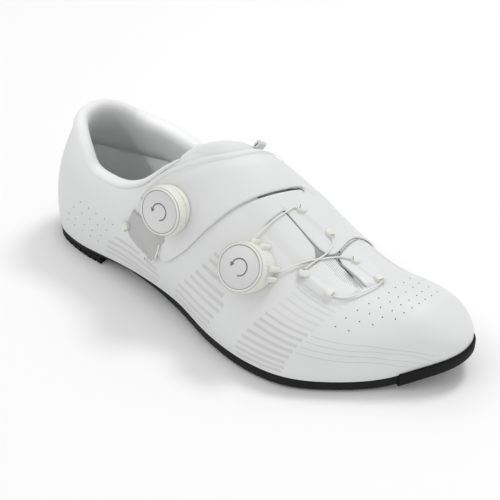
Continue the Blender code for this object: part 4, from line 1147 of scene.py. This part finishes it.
def build_outsole():
    """Sole plate with a rounded lower edge, arch, toe spring and the three cleat holes as dark caps."""
    station = np.array(stations_between(24, 80, 30))
    feather, edge, belly = sole_sizes(station)
    lateral = shoe_point(station, -1.0)
    medial = shoe_point(station, 1.0)
    middle = 0.5 * (lateral + medial)
    top_z = feather - GAP
    verts, faces = [], []
    for side in (lateral, medial):
        rings = [level_ring(middle, side, share, top_z) for share in (0.0, 0.7, 0.985)]
        for drop_share, inset in SOLE_CORNER:
            rings.append(level_ring(middle, side, inset, np.maximum(top_z - edge * drop_share, SOLE_FLAT)))
        for share in (0.94, 0.88, 0.8, 0.7, 0.55, 0.4, 0.2, 0.0):
            low_z = np.maximum(top_z - edge - belly * (1 - share ** 4), SOLE_FLAT)
            rings.append(level_ring(middle, side, share, low_z))
        add_grid(verts, faces, np.stack(rings, 1))
    down = np.array([0.0, 0.0, -1.0])
    for x, y in ((0.0, 0.5 * CLEAT_SPREAD), (0.0, -0.5 * CLEAT_SPREAD), (CLEAT_REACH, 0.0)):
        disc(verts, faces, np.array([CLEAT_X + x, CLEAT_Y + y, 0.0]), down, CLEAT_HOLE_RADIUS, PRINT, 24)
    return finish_piece(make_object("sole_plate", BLACK, verts, faces, 35.0), "black_sole", "outsole")


def build_insole():
    """Footbed on the sole plate, inside the upper's wall, with a shallow cup, painted dark grey as painted
    shade deep inside the shoe.
    """
    station = np.array(stations_between(14, 40, 16))
    inset = WALL + 4 * GAP
    lateral = shoe_point(station, -1.0)
    medial = shoe_point(station, 1.0)
    middle = 0.5 * (lateral + medial)
    half = 0.5 * np.linalg.norm((medial - lateral)[:, :2], axis=1)
    shrink = np.maximum(half - inset, 0) / np.maximum(half, 1e-9)
    x_middle = 0.5 * LENGTH - HEEL_OFFSET
    x_scale = (0.5 * LENGTH - inset) / (0.5 * LENGTH)
    low_z = section("feather", station) * WAIST_HEIGHT
    verts, faces = [], []
    shares = np.array([0.0, 0.4, 0.7, 0.85, 0.95, 1.0])
    for side in (lateral, medial):
        rings = [level_ring(middle, side, (shrink * share)[:, None], low_z) for share in shares]
        for share in shares[::-1]:
            high_z = low_z + INSOLE_WALL * (1 + 0.6 * share ** 4 * end_width(station))
            rings.append(level_ring(middle, side, (shrink * share)[:, None], high_z))
        grid = np.stack(rings, 1)
        grid[..., 0] = x_middle + (grid[..., 0] - x_middle) * x_scale
        add_grid(verts, faces, grid)
    return finish_piece(make_object("footbed", FOOTBED_PAINTED_SHADE, verts, faces, 35.0), "padded_lining", "insole")


def rim_frame(lateral_end, medial_end, counts):
    """Points, outward normals and upward directions along the opening's edge, round the heel."""
    spread = stations_between(*counts)
    sides = [[s for s in spread if s < last - 0.005] + [last] for last in (lateral_end, medial_end)]
    station = np.array(sides[0][::-1] + sides[1][1:])
    lateral, medial = opening_edges(station)
    around = np.where(np.arange(len(station)) < len(sides[0]), lateral, medial)
    rim = shoe_point(station, around)
    normal = shoe_normal(station, around)
    up = np.cross(normal, unit(np.gradient(rim, axis=0)))
    return station, rim, normal, unit(up * np.sign(up[:, 2:3]))


def build_collar():
    """Padded collar: a soft roll over the upper's edge that runs down inside as a thick lining."""
    station, rim, normal, up = rim_frame(RIM_END, ROLL[-1][0], (20, 60, 12))
    on_lateral = np.arange(len(station)) < np.argmin(station)
    height = ROLL_HEIGHT * np.where(on_lateral, smooth_table(ROLL_NAMES, ROLL, "lateral", station),
                                    smooth_table(ROLL_NAMES, ROLL, "medial", station))
    run = np.concatenate([[0], np.cumsum(np.linalg.norm(np.diff(rim, axis=0), axis=1))])
    share = np.clip(np.minimum(run, run[-1] - run) / ROLL_TAPER, 0, 1)
    full = 0.25 + 0.75 * np.sqrt(1 - (1 - share) ** 2)
    rings = []
    for out, rise, sink in COLLAR_PROFILE:
        over = (rise * height + sink) * full
        below = np.minimum(over, 0)
        rings.append(rim + normal * (out * ROLL_WIDTH * full - ROLL_BEND * below * below)[:, None]
                     + up * over[:, None])
    obj = capped("collar_roll", ROLL_CLOTH, np.stack(rings + rings[:1], 1), 80.0)
    return finish_piece(obj, "padded_lining", "collar")


def build_heel_pad():
    """Rubber wedge under the heel, inset under the sole plate, with serrated lugs."""
    back = -HEEL_OFFSET + PAD_START
    places = []
    for i in range(LUG_COUNT):
        start = back + i * LUG_PITCH
        end = start + LUG_PITCH - GROOVE
        places += [(x, 0.0) for x in (start, start + LUG_SOFT, 0.5 * (start + end), end - LUG_SOFT, end)]
        places += [(end + 0.35 * GROOVE, LUG_DEPTH), (end + 0.65 * GROOVE, LUG_DEPTH)]
    places = places[:-2]
    rings = []
    for x, z in places:
        station = (x + HEEL_OFFSET) / LENGTH
        lateral = shoe_point(station, -1.0)
        medial = shoe_point(station, 1.0)
        middle = 0.5 * (lateral[1] + medial[1])
        half = 0.5 * (medial[1] - lateral[1]) - PAD_INSET
        feather, edge, belly = sole_sizes(station)
        top = feather - edge - belly - 4 * GAP
        ring = [(-half, top), (LUG_SOFT - half, z + LUG_CORNER), (LUG_CORNER - half, z), (0.0, z),
                (half - LUG_CORNER, z), (half - LUG_SOFT, z + LUG_CORNER), (half, top), (0.0, top)]
        ring.append(ring[0])
        rings.append([(x, middle + across, height) for across, height in ring])
    return finish_piece(capped("heel_lugs", RUBBER, np.array(rings), 30.0), "black_rubber", "heel_pad")


def sole_underside(x):
    """Height of the sole plate's lower edge at a place along the shoe."""
    station = np.clip((x + HEEL_OFFSET) / LENGTH, 0, 1)
    feather, edge, _ = sole_sizes(station)
    return feather - GAP - edge


def build_bumper():
    """Moulded rim round the toe, from the lateral step to the same place on the medial side."""
    spread = [s for s in stations_between(7, 24, 60) if s > BUMPER_START + 0.003]
    spread = [BUMPER_START, BUMPER_START + 0.001] + spread
    station = np.array(spread + spread[-2::-1])
    side = np.where(np.arange(len(station)) < len(spread), -1.0, 1.0)
    foot = shoe_point(station, side)
    tall = shoe_point(station, 0.0)[:, 2] - foot[:, 2]
    rim = side * (1 - BUMPER_RISE / (1.5 * tall))
    high = shoe_point(station, rim)
    normal = shoe_normal(np.minimum(station, TIP_STATION), rim)
    tangent = np.gradient(foot, axis=0)
    out = unit(np.stack([-tangent[:, 1], tangent[:, 0], 0 * tangent[:, 0]], 1))
    middle = shoe_point(0.7, -1.0) * 0.5 + shoe_point(0.7, 1.0) * 0.5
    out *= np.sign(np.sum((foot - middle) * out, axis=1))[:, None]
    low_z = sole_underside(foot[:, 0])
    count = np.arange(len(station))
    wall = BUMPER_WALL * np.minimum(1, np.minimum(count, count[::-1]) * 0.5 + 0.5)[:, None]
    rings = [high + normal * GAP, high + normal * (GAP + 0.35 * wall)]
    rings.append(0.5 * (high + foot) + out * (GAP + 0.85 * wall))
    rings.append(foot + out * (GAP + wall))
    for inward, drop_by in BUMPER_CORNER:
        ring = foot + out * (GAP + wall - inward)
        ring[:, 2] = low_z - drop_by
        rings.append(ring)
    lip = foot - out * BUMPER_LIP
    lip[:, 2] = sole_underside(lip[:, 0]) - 2 * GAP - BUMPER_WALL
    rings.append(lip.copy())
    lip[:, 2] += BUMPER_WALL
    rings.append(lip)
    corner = foot + out * 0.5 * GAP
    corner[:, 2] = low_z - GAP
    rings.append(corner)
    rings.append(foot + out * 0.5 * GAP)
    rim_piece = capped("toe_rim", RUBBER, np.stack(rings + rings[:1], 1), 50.0)
    return finish_piece(rim_piece, "black_rubber", "toe_bumper")


def build_tongue():
    """Padded tongue with a soft rounded rear edge."""
    under = -WALL - TONGUE_SEAT
    around = TONGUE[0][0] + (TONGUE[-1][0] - TONGUE[0][0]) * edge_shares(60, 0.06, 0.002)
    rear = steady_table(TONGUE, 1, around)
    front = steady_table(TONGUE, 2, around)
    share = edge_shares(60, 0.09, 0.002)
    station = rear[:, None] + (front - rear)[:, None] * share
    around = around[:, None] + 0 * share
    distance = border_distance(shoe_point(station, around), 0.5 * TONGUE_WALL)
    puff = np.sqrt(1 - (1 - np.clip(distance / (0.5 * TONGUE_WALL), 0, 1)) ** 2)
    high = under - 0.5 * TONGUE_WALL * (1 - puff)
    low = under - TONGUE_WALL + 0.5 * TONGUE_WALL * (1 - puff)
    obj = slab("tongue_pad", STRAP_WHITE, shoe_offset(station, around, high),
               shoe_offset(station, around, low))
    return finish_piece(obj, "padded_lining", "tongue")


def build_panels():
    """Strap, flap and overlays, with the raised channels that the cable runs through."""
    panel_top = SEAT + OVERLAY
    guides = {row[0]: (row[1], row[2]) for row in GUIDES}
    a, b, c, d, e, f = (guides["lace_guide_" + k] for k in "abcdef")
    on_sole = fade(1, *SOLE_FADE)

    def thin_rear(station, around):
        return 0.5 + 0.5 * eased((station - steady_table(STRAP, 1, around)) * LENGTH / STRAP_SLOPE)

    def over(pair):
        return channel([pair], CHANNEL_HEIGHT, CHANNEL_WIDTH)

    def either(first, second):
        return lambda station, around: np.maximum(first(station, around), second(station, around))

    finish_piece(cross_panel("strap_skin", STRAP_WHITE, STRAP, SEAT, SEAT + STRAP_WALL, 150, 40,
                             (0.20, 0.042), blends=(thin_rear, on_sole)),
                 "white_synthetic", "instep_strap")
    finish_piece(cross_panel("flap_skin", PANEL_WHITE, behind_strap(MEDIAL_FLAP, 4 * GAP), SEAT, panel_top,
                             110, 50, (0.10, 0.035), relief=over((a, b)),
                             blends=(fade(1, -0.362, -0.200), fade(1, 0.94, 0.70))),
                 "white_synthetic", "medial_flap")
    finish_piece(cross_panel("quarter_panel_skin", PANEL_WHITE, LATERAL_OVERLAY, SEAT, panel_top, 30, 30,
                             (0.02, 0.025), blends=(fade(1, -0.345, -0.250),)),
                 "white_synthetic", "lateral_overlay")
    finish_piece(long_panel("vamp_panel_skin", PANEL_WHITE, VAMP_OVERLAY, SEAT, panel_top, 60, 50,
                            (0.03, 0.025), relief=over((c, d)),
                            soft=either(fade(0, 0.735, 0.752), fade(1, -0.300, -0.345))),
                 "white_synthetic", "vamp_overlay")
    finish_piece(long_panel("medial_panel_skin", PANEL_WHITE, MEDIAL_OVERLAY, SEAT, panel_top, 60, 40,
                            (0.03, 0.022), relief=over((e, f)),
                            soft=either(fade(0, 0.782, 0.796), fade(1, 0.040, 0.080))),
                 "white_synthetic", "medial_overlay")
    finish_piece(cross_panel("bracket_skin", GLASS, BRACKET, SEAT, panel_top, 24, 16, (0.014, 0.012)),
                 "dial_grey", "rear_dial_bracket")
    finish_piece(build_joint(), "white_synthetic")
    finish_piece(cross_panel("dial_seat_plate", GLASS, SEAT_PLATE, SEAT, PLATE_TOP, 24, 24, (0.02, 0.02),
                             edge=PLATE_EDGE), "dial_grey")
    finish_piece(cross_panel("pale_liner", PANEL_WHITE, PALE_LINER, *LINER_HEIGHTS, 30, 30, (0.04, 0.03),
                             blends=(fade(1, -0.290, -0.230),)), "white_synthetic")
    liner = [(a, float(steady_table(STRAP, 1, a)) + 0.005, float(steady_table(STRAP, 1, a)) + 0.045)
             for a in np.linspace(-0.20, 0.62, 9)]
    finish_piece(cross_panel("strap_liner", ROLL_CLOTH, liner, -LINER_DEPTH, SEAT, 40, 12, (0.08, 0.012)),
                 "padded_lining")
    # Grey sheet in the gap: the cloth's own colour and painted shade under the panels' edges
    finish_piece(cross_panel("gap_liner_painted_shade", GAP_CLOTH_AND_SHADE_GREY, GAP_SHADE_LINER, *LINER_HEIGHTS, 40, 30, (0.04, 0.03)),
                 "padded_lining")


def build_joint():
    """Thin skin that joins the strap's front edge and the flap on the medial side of the slit."""
    around = JOINT_START + (JOINT_END - JOINT_START) * edge_shares(60, 0.09, EDGE)
    reach = np.concatenate([np.linspace(-JOINT_REAR, 0, 8), np.linspace(0, JOINT_FRONT, 24)[1:]])
    station = steady_table(STRAP, 2, around)[:, None] + reach / LENGTH
    around = around[:, None] + 0 * reach
    strap_top = SEAT + STRAP_WALL + JOINT_SKIN
    flap_top = SEAT + OVERLAY - JOINT_SKIN
    height = strap_top + (flap_top - strap_top) * eased(reach / JOINT_FRONT)
    height = height + 2 * JOINT_SKIN * np.minimum(reach, 0) / JOINT_REAR
    ahead = np.clip(reach / JOINT_REAR, 0, 1)
    begun = eased((around - JOINT_START) / (JOINT_RISE[0] + JOINT_RISE[1] * ahead))
    floor = np.where(reach > 0, flap_top, 0.4 * height)
    height = floor + (height - floor) * begun
    height = (height + SUNK) * fade(1, *SOLE_FADE)(station, around) - SUNK
    return slab("joint_skin", STRAP_WHITE, shoe_offset(station, around, height),
                shoe_offset(station, around, np.minimum(SEAT, height - SUNK)))


def seated_rings(place, outline, low, under, height, shape):
    """Rings of a block that follows the shoe below, with shape (share of the outline, of height) above."""
    origin, x_axis, y_axis, outward = place[:4]
    rings = [drop(place, outline[:, 0] * k, outline[:, 1] * k, low) for k in under]
    for share, rise in shape:
        flat = origin + np.outer(outline[:, 0] * share, x_axis) + np.outer(outline[:, 1] * share, y_axis)
        rings.append(flat + outward * (low + height * rise))
    return rings


def build_guides():
    """Small round-ended guides, domed on top, with a dark band painted on top as the shade in the cable's
    mouth.
    """
    outline = np.array(stadium(GUIDE_LENGTH, GUIDE_WIDTH, 10))
    low = SEAT + OVERLAY
    for name, station, around, turn in GUIDES:
        place = make_place(station, around, turn)
        origin, outward = place[0], place[3]
        rings = seated_rings(place, outline, low, (0.0, 0.6, 1.0), GUIDE_HEIGHT, GUIDE_DOME)
        finish_piece(closed_rows(name + "_body", IVORY, np.stack(rings, 1), 60.0), "ivory_guide", name)
        # Painted shade: a dark band on the dome where the cable enters, for the shade in the guide's mouth
        ends = np.concatenate([shoe_offset(*np.array([route[0], route[-1]]).T) for route in CABLES])
        towards = ends[np.argmin(np.linalg.norm(ends - origin, axis=1))] - origin
        towards = unit(towards - outward * (towards @ outward))
        across = np.cross(outward, towards)
        steps = np.linspace(-0.5, 0.5, 5)[:, None]
        middle = origin + towards * 0.27 * GUIDE_LENGTH + outward * (low + 0.985 * GUIDE_HEIGHT)
        verts, faces = [], []
        ribbon(verts, faces, middle + steps * across * MOUTH_SHADE_LENGTH, np.tile(outward, (5, 1)), MOUTH_SHADE_WIDTH)
        finish_piece(make_object(name + "_mouth_shade", GAP_CLOTH_AND_SHADE_GREY, verts, faces), "ivory_guide")


def turned(name, skin, place, height, profile, count, ripple=None):
    """A turned piece on a place: profile is (radius, height); ripple is low, high and depth of its ridges."""
    origin, x_axis, y_axis, outward = place[:4]
    rings = []
    for i in range(count):
        angle = 2 * math.pi * i / count
        spoke = x_axis * math.cos(angle) + y_axis * math.sin(angle)
        wave = 0.5 + 0.5 * math.cos(GRIPS * angle)
        ring = []
        for r, z in profile:
            depth = 0.0
            if ripple is not None and ripple[0] < z < ripple[1]:
                depth = ripple[2] * wave
            ring.append(origin + spoke * (r - depth) + outward * (height + z))
        rings.append(ring)
    return closed_rows(name, skin, np.array(rings), 35.0)


def rectangle(near, far, low, high):
    """Section of a turned ring: (radius, height) of its corners, closed."""
    return (near, low), (far, low), (far, high), (near, high), (near, low)


def lugged_outline(ears, count=360):
    """The dial's plate with two narrow lugs on both sides of each lace's exit."""
    points = []
    for i in range(count):
        angle = 360.0 * i / count
        radius = BASE_RADIUS
        for ear in ears:
            for lug in (ear - LUG_TURN, ear + LUG_TURN):
                away = abs((angle - lug + 180.0) % 360.0 - 180.0)
                radius += EAR * max(0.0, 1 - (away / LUG_SPREAD) ** 4)
        points.append((radius * math.cos(math.radians(angle)), radius * math.sin(math.radians(angle))))
    return points


def build_dial(prefix, place, low, base_height, ears):
    """A lace dial: a cream plate with ears, a ridged knob, a grey face, a plain turning mark and dark rings
    of painted shade in its grooves.
    """
    origin, x_axis, y_axis, outward = place[:4]
    outline = np.array(lugged_outline(ears))
    rings = seated_rings(place, outline, low, (0.0, 0.5, 0.8, 1.0), base_height, PLATE_SHAPE)
    plate = closed_rows(prefix + "_dial_plate", IVORY, np.stack(rings, 1), 40.0)
    finish_piece(plate, "ivory_guide", prefix + "_dial_base")
    base = low + base_height + GAP
    top = DIAL_HEIGHT
    profile = ((0.0, 0.0), (DIAL_RADIUS - 0.0012, 0.0), (DIAL_RADIUS - 0.0004, 0.0003), (DIAL_RADIUS, 0.0010),
               (DIAL_RADIUS, 0.0016), (DIAL_RADIUS, 0.5 * top), (DIAL_TOP + 0.0002, top - 0.0012),
               (DIAL_TOP, top - 0.0006), (DIAL_TOP - 0.0002, top - 0.0002), (DIAL_TOP - 0.0005, top),
               (DIAL_FACE + 0.0004, top), (DIAL_FACE + 0.0001, top - 0.0001), (DIAL_FACE, top - 0.0003),
               (DIAL_FACE - 0.0001, top - DIAL_SINK), (0.0, top - DIAL_SINK))
    knob = turned(prefix + "_dial_grip", IVORY, place, base, profile, 192, (0.0012, top - 0.0018, GRIP_DEPTH))
    finish_piece(knob, "dial_grey", prefix + "_dial_knob")
    face_low = top - DIAL_SINK
    face_radius = DIAL_FACE - 0.0005
    face = ((0.0, face_low - 0.0002), (face_radius, face_low - 0.0002), (face_radius, face_low + 0.0002),
            (face_radius - 0.0003, face_low + 0.0004), (0.0, face_low + 0.0004))
    finish_piece(turned(prefix + "_dial_face", FACE, place, base, face, 96), "dial_grey")
    # Painted shade: dark rings for the shade in the groove round the face and under the top rim
    inner_shade_ring = rectangle(face_radius - 0.0001, DIAL_FACE - 0.0001, face_low - 0.0003, face_low + 0.0002)
    outer_shade_ring = rectangle(DIAL_TOP - 0.0005, DIAL_TOP + 0.0003, top - 0.0013, top - 0.0013 + GROOVE_SHADE)
    for kind, ring in (("inner", inner_shade_ring), ("outer", outer_shade_ring)):
        name = prefix + "_dial_" + kind + "_shade_ring"
        finish_piece(turned(name, GAP_CLOTH_AND_SHADE_GREY, place, base, ring, 96), "dial_grey")
    height = base + face_low + 0.0004
    turn = np.radians(np.linspace(MARK_START, MARK_END, 40))
    spokes = np.outer(np.cos(turn), x_axis) + np.outer(np.sin(turn), y_axis)
    middle = origin + outward * height
    heading = -x_axis * math.sin(turn[-1]) + y_axis * math.cos(turn[-1])
    steps = np.linspace(0, 1, 6)
    arrow = middle + spokes[-1] * MARK_RADIUS + np.outer(steps, heading) * ARROW_LENGTH
    verts, faces = [], []
    ribbon(verts, faces, middle + spokes * MARK_RADIUS, np.tile(outward, (len(turn), 1)), MARK_WIDTH)
    ribbon(verts, faces, arrow, np.tile(outward, (6, 1)), ARROW_WIDTH * (1 - steps) + 0.00005)
    finish_piece(make_object(prefix + "_dial_mark", MARK, verts, faces), "dial_grey")


def build_laces():
    """The cable's runs, from the dials through the guides."""
    for name, route, count, nodes in (("cable_top", CABLE_TOP, 40, ("lace_top",)),
                                      ("cable_front", CABLE_FRONT, 50, ("lace_front",)),
                                      ("cable_cross", CABLE_CROSS, 60, ("lace_cross",)),
                                      ("cable_back", CABLE_BACK, 70, ()),
                                      ("cable_rear", CABLE_REAR, 40, ("lace_rear",))):
        obj = tube(name, CABLE, route_points(route, count)[0], CABLE_RADIUS)
        finish_piece(obj, "white_cable", *nodes)


def build_tab():
    """A folded fabric tab behind the strap."""
    place = make_place(*LOOP_TAB)
    origin, x_axis, y_axis, outward = place[:4]
    turn = np.linspace(-0.5 * math.pi, 0.5 * math.pi, 16)
    foot = GAP - WALL - TONGUE_SEAT
    top = foot + TAB_HEIGHT - TAB_FOLD
    loop = [(-0.0014, foot), (-TAB_FOLD, foot + 0.35 * TAB_HEIGHT)]
    loop += [(TAB_FOLD * math.sin(t), top + TAB_FOLD * math.cos(t)) for t in turn]
    loop += [(TAB_FOLD, foot + 0.35 * TAB_HEIGHT), (0.0014, foot)]
    across = np.linspace(-0.5, 0.62, 11) * TAB_LENGTH

    def sheet(share, sink):
        return np.array([[origin + x_axis * u + y_axis * v * share + outward * max(foot, h - sink)
                          for u in across] for v, h in loop])

    tab = slab("tab_loop", ROLL_CLOTH, sheet(1.0, 0.0), sheet(0.3, 0.0016))
    return finish_piece(tab, "padded_lining", "loop_tab")


def surface_line(places, count, height=0.0):
    """A smooth line on the shoe through (station, around) places, with its normals."""
    return route_points([(s, a, height) for s, a in places], count)


def bands(name, skin, rows):
    """Thin bands on the shoe: each row is places (station, around), points, height and width."""
    verts, faces = [], []
    for places, count, height, width in rows:
        ribbon(verts, faces, *surface_line(places, count, height), width)
    finish_piece(make_object(name, skin, verts, faces), "white_synthetic")


def straight(stripes):
    """Rows for bands from stripes that run from one place to another."""
    return [((start, end), 14, 0.0, width) for start, end, width in stripes]


def bent(lines, height, width):
    """Rows for bands from lines through several places, all of one height and width."""
    return [(places, 10 * len(places), height, width) for places in lines]


def build_prints():
    """Printed stripes, contour lines and pinholes, and dark gap lines that are partly painted shadow."""
    top = SEAT + OVERLAY
    bands("stripes", STRIPE, straight(STRIPES_FRONT)
          + [(places, 10 * len(places), 0.0, width) for places, width in STRIPES_REAR])
    bands("stripes_pale", STRIPE_PALE, straight(STRIPES_PALE))
    bands("stripes_medial", STRIPE_PALE, straight(STRIPES_MEDIAL))
    # Dark lines in the gaps between panels: the cloth's own grey and painted shadow under the panels' edges
    bands("gap_shadow_lines", GAP_CLOTH_AND_SHADE_GREY, [(row[0], 10 * len(row[0]), *row[1:]) for row in GAP_SHADOW_LINES])
    verts, faces = [], []
    for s in np.arange(MESH_WINDOW[0][0], MESH_WINDOW[-1][0], MESH_STATION_STEP):
        lateral, medial = (float(steady_table(MESH_WINDOW, k, s)) for k in (1, 2))
        for a in np.arange(medial, lateral, -MESH_AROUND_STEP):
            disc(verts, faces, shoe_offset(s, a, top), shoe_normal(s, a), MESH_RADIUS, PRINT, 8)
    finish_piece(make_object("mesh_pinholes", HOLE_PALE, verts, faces), "white_synthetic")
    bands("contour_lines", LINE, bent(CONTOURS, 0.0, LINE_WIDTH) + bent(DOUBLE_LINES, top, LINE_WIDTH))
    place = make_place(*REAR_DIAL)
    towards = shoe_point(*PLATE_SIDE) - place[0]
    arc = np.radians(np.linspace(-PLATE_ARC, PLATE_ARC, 40))
    turn = math.atan2(towards @ place[2], towards @ place[1]) + arc
    reach = BASE_RADIUS + PLATE_LINE
    line = drop(place, reach * np.cos(turn), reach * np.sin(turn), PLATE_TOP)
    verts, faces = [], []
    ribbon(verts, faces, line, np.tile(place[3], (len(turn), 1)), 2 * LINE_WIDTH)
    finish_piece(make_object("plate_line", HOLE_PALE, verts, faces), "dial_grey")
    verts, faces = [], []
    for places in HOLES_TOE + (HOLES_HEEL,):
        for s, a in places:
            disc(verts, faces, shoe_point(s, a), shoe_normal(s, a), HOLE_RADIUS)
    finish_piece(make_object("pinholes", HOLE, verts, faces), "white_synthetic")


def build_stitching():
    """Stitched seams on the strap."""
    verts, faces = [], []
    around = np.linspace(STRAP[1][0], STRAP[-1][0], 240)
    rear = steady_table(STRAP, 1, around) + SEAM_INSET / LENGTH
    height = np.full(around.shape, SEAT + STRAP_WALL)
    points = shoe_offset(rear, around, height)
    stitches(verts, faces, points, shoe_normal(rear, around), STITCH_LENGTH, STITCH_PITCH, STITCH_WIDTH)
    finish_piece(make_object("strap_stitching", THREAD, verts, faces), "white_synthetic")


def build_stage():
    """A plain pale floor."""
    verts = [(x * FLOOR_SIZE, y * FLOOR_SIZE, 0) for x, y in ((-1, -1), (1, -1), (1, 1), (-1, 1))]
    floor_material = material("floor_white", (0.95, 0.95, 0.95), 0.9)
    floor = make_object("floor", floor_material, verts, [(0, 1, 2, 3)])


def placed(x_axis, y_axis, z_axis, place):
    """Matrix of an object from its three directions and its place."""
    rows = np.eye(4)
    rows[:3, :] = np.stack([x_axis, y_axis, z_axis, place], 1)
    return Matrix(rows.tolist())


def aimed(place, target):
    """Matrix of a light at place that looks at target."""
    back = unit(np.array(place, float) - np.array(target, float))
    side = unit(np.cross((0, 0, 1), back))
    return placed(side, np.cross(back, side), back, place)


def add_light(name, kind, place, target, power):
    """A light at place that looks at target."""
    data = bpy.data.lights.new(name, kind)
    data.energy = power
    obj = bpy.data.objects.new(name, data)
    bpy.context.scene.collection.objects.link(obj)
    obj.matrix_world = aimed(place, target)
    return data


def build_light():
    """Even light from all round, two soft lights from above and a narrow one into the opening."""
    scene = bpy.context.scene
    world = bpy.data.worlds.new("studio")
    scene.world = world
    world.use_nodes = True
    background = world.node_tree.nodes["Background"]
    background.inputs["Color"].default_value = (1, 1, 1, 1)
    background.inputs["Strength"].default_value = WORLD_LIGHT
    for name, place, size, power in LIGHTS:
        data = add_light(name, "AREA", place, LIGHT_TARGET, power)
        data.shape = "RECTANGLE"
        data.size, data.size_y = size
    place, target, cone, radius, power = INNER_LIGHT
    data = add_light("inner", "SPOT", place, target, power)
    data.spot_size = math.radians(cone)
    data.spot_blend = 1.0
    data.shadow_soft_size = radius
    scene.view_settings.view_transform = "Standard"
    scene.view_settings.look = "None"


def build_camera():
    """The photograph's angle, lens and framing."""
    azimuth, elevation, roll = np.radians((CAMERA_AZIMUTH, CAMERA_ELEVATION, CAMERA_ROLL))
    level = math.cos(elevation)
    back = np.array([math.sin(azimuth) * level, -math.cos(azimuth) * level, math.sin(elevation)])
    right = np.array([math.cos(azimuth), math.sin(azimuth), 0.0])
    up = np.cross(back, right)
    rolled = right * math.cos(roll) + up * math.sin(roll)
    raised = up * math.cos(roll) - right * math.sin(roll)
    place = np.array(CAMERA_TARGET) + back * CAMERA_DISTANCE
    data = bpy.data.cameras.new("camera")
    data.lens = CAMERA_LENS
    data.sensor_width = CAMERA_SENSOR
    data.shift_x, data.shift_y = CAMERA_SHIFT
    data.clip_end = CAMERA_REACH
    camera = bpy.data.objects.new("camera", data)
    bpy.context.scene.collection.objects.link(camera)
    camera.matrix_world = placed(rolled, raised, back, place)
    bpy.context.scene.camera = camera


def main():
    build_camera()
    build_upper()
    build_outsole()
    build_insole()
    build_collar()
    build_heel_pad()
    build_bumper()
    build_tongue()
    build_panels()
    build_guides()
    build_dial("front", make_place(*FRONT_DIAL, 0.0, FRONT_DIAL_AXIS), SEAT, FRONT_BASE, FRONT_EARS)
    build_dial("rear", make_place(*REAR_DIAL), 2 * SEAT + STRAP_WALL, REAR_BASE, REAR_EARS)
    build_laces()
    build_tab()
    build_prints()
    build_stitching()
    build_stage()
    build_light()


main()
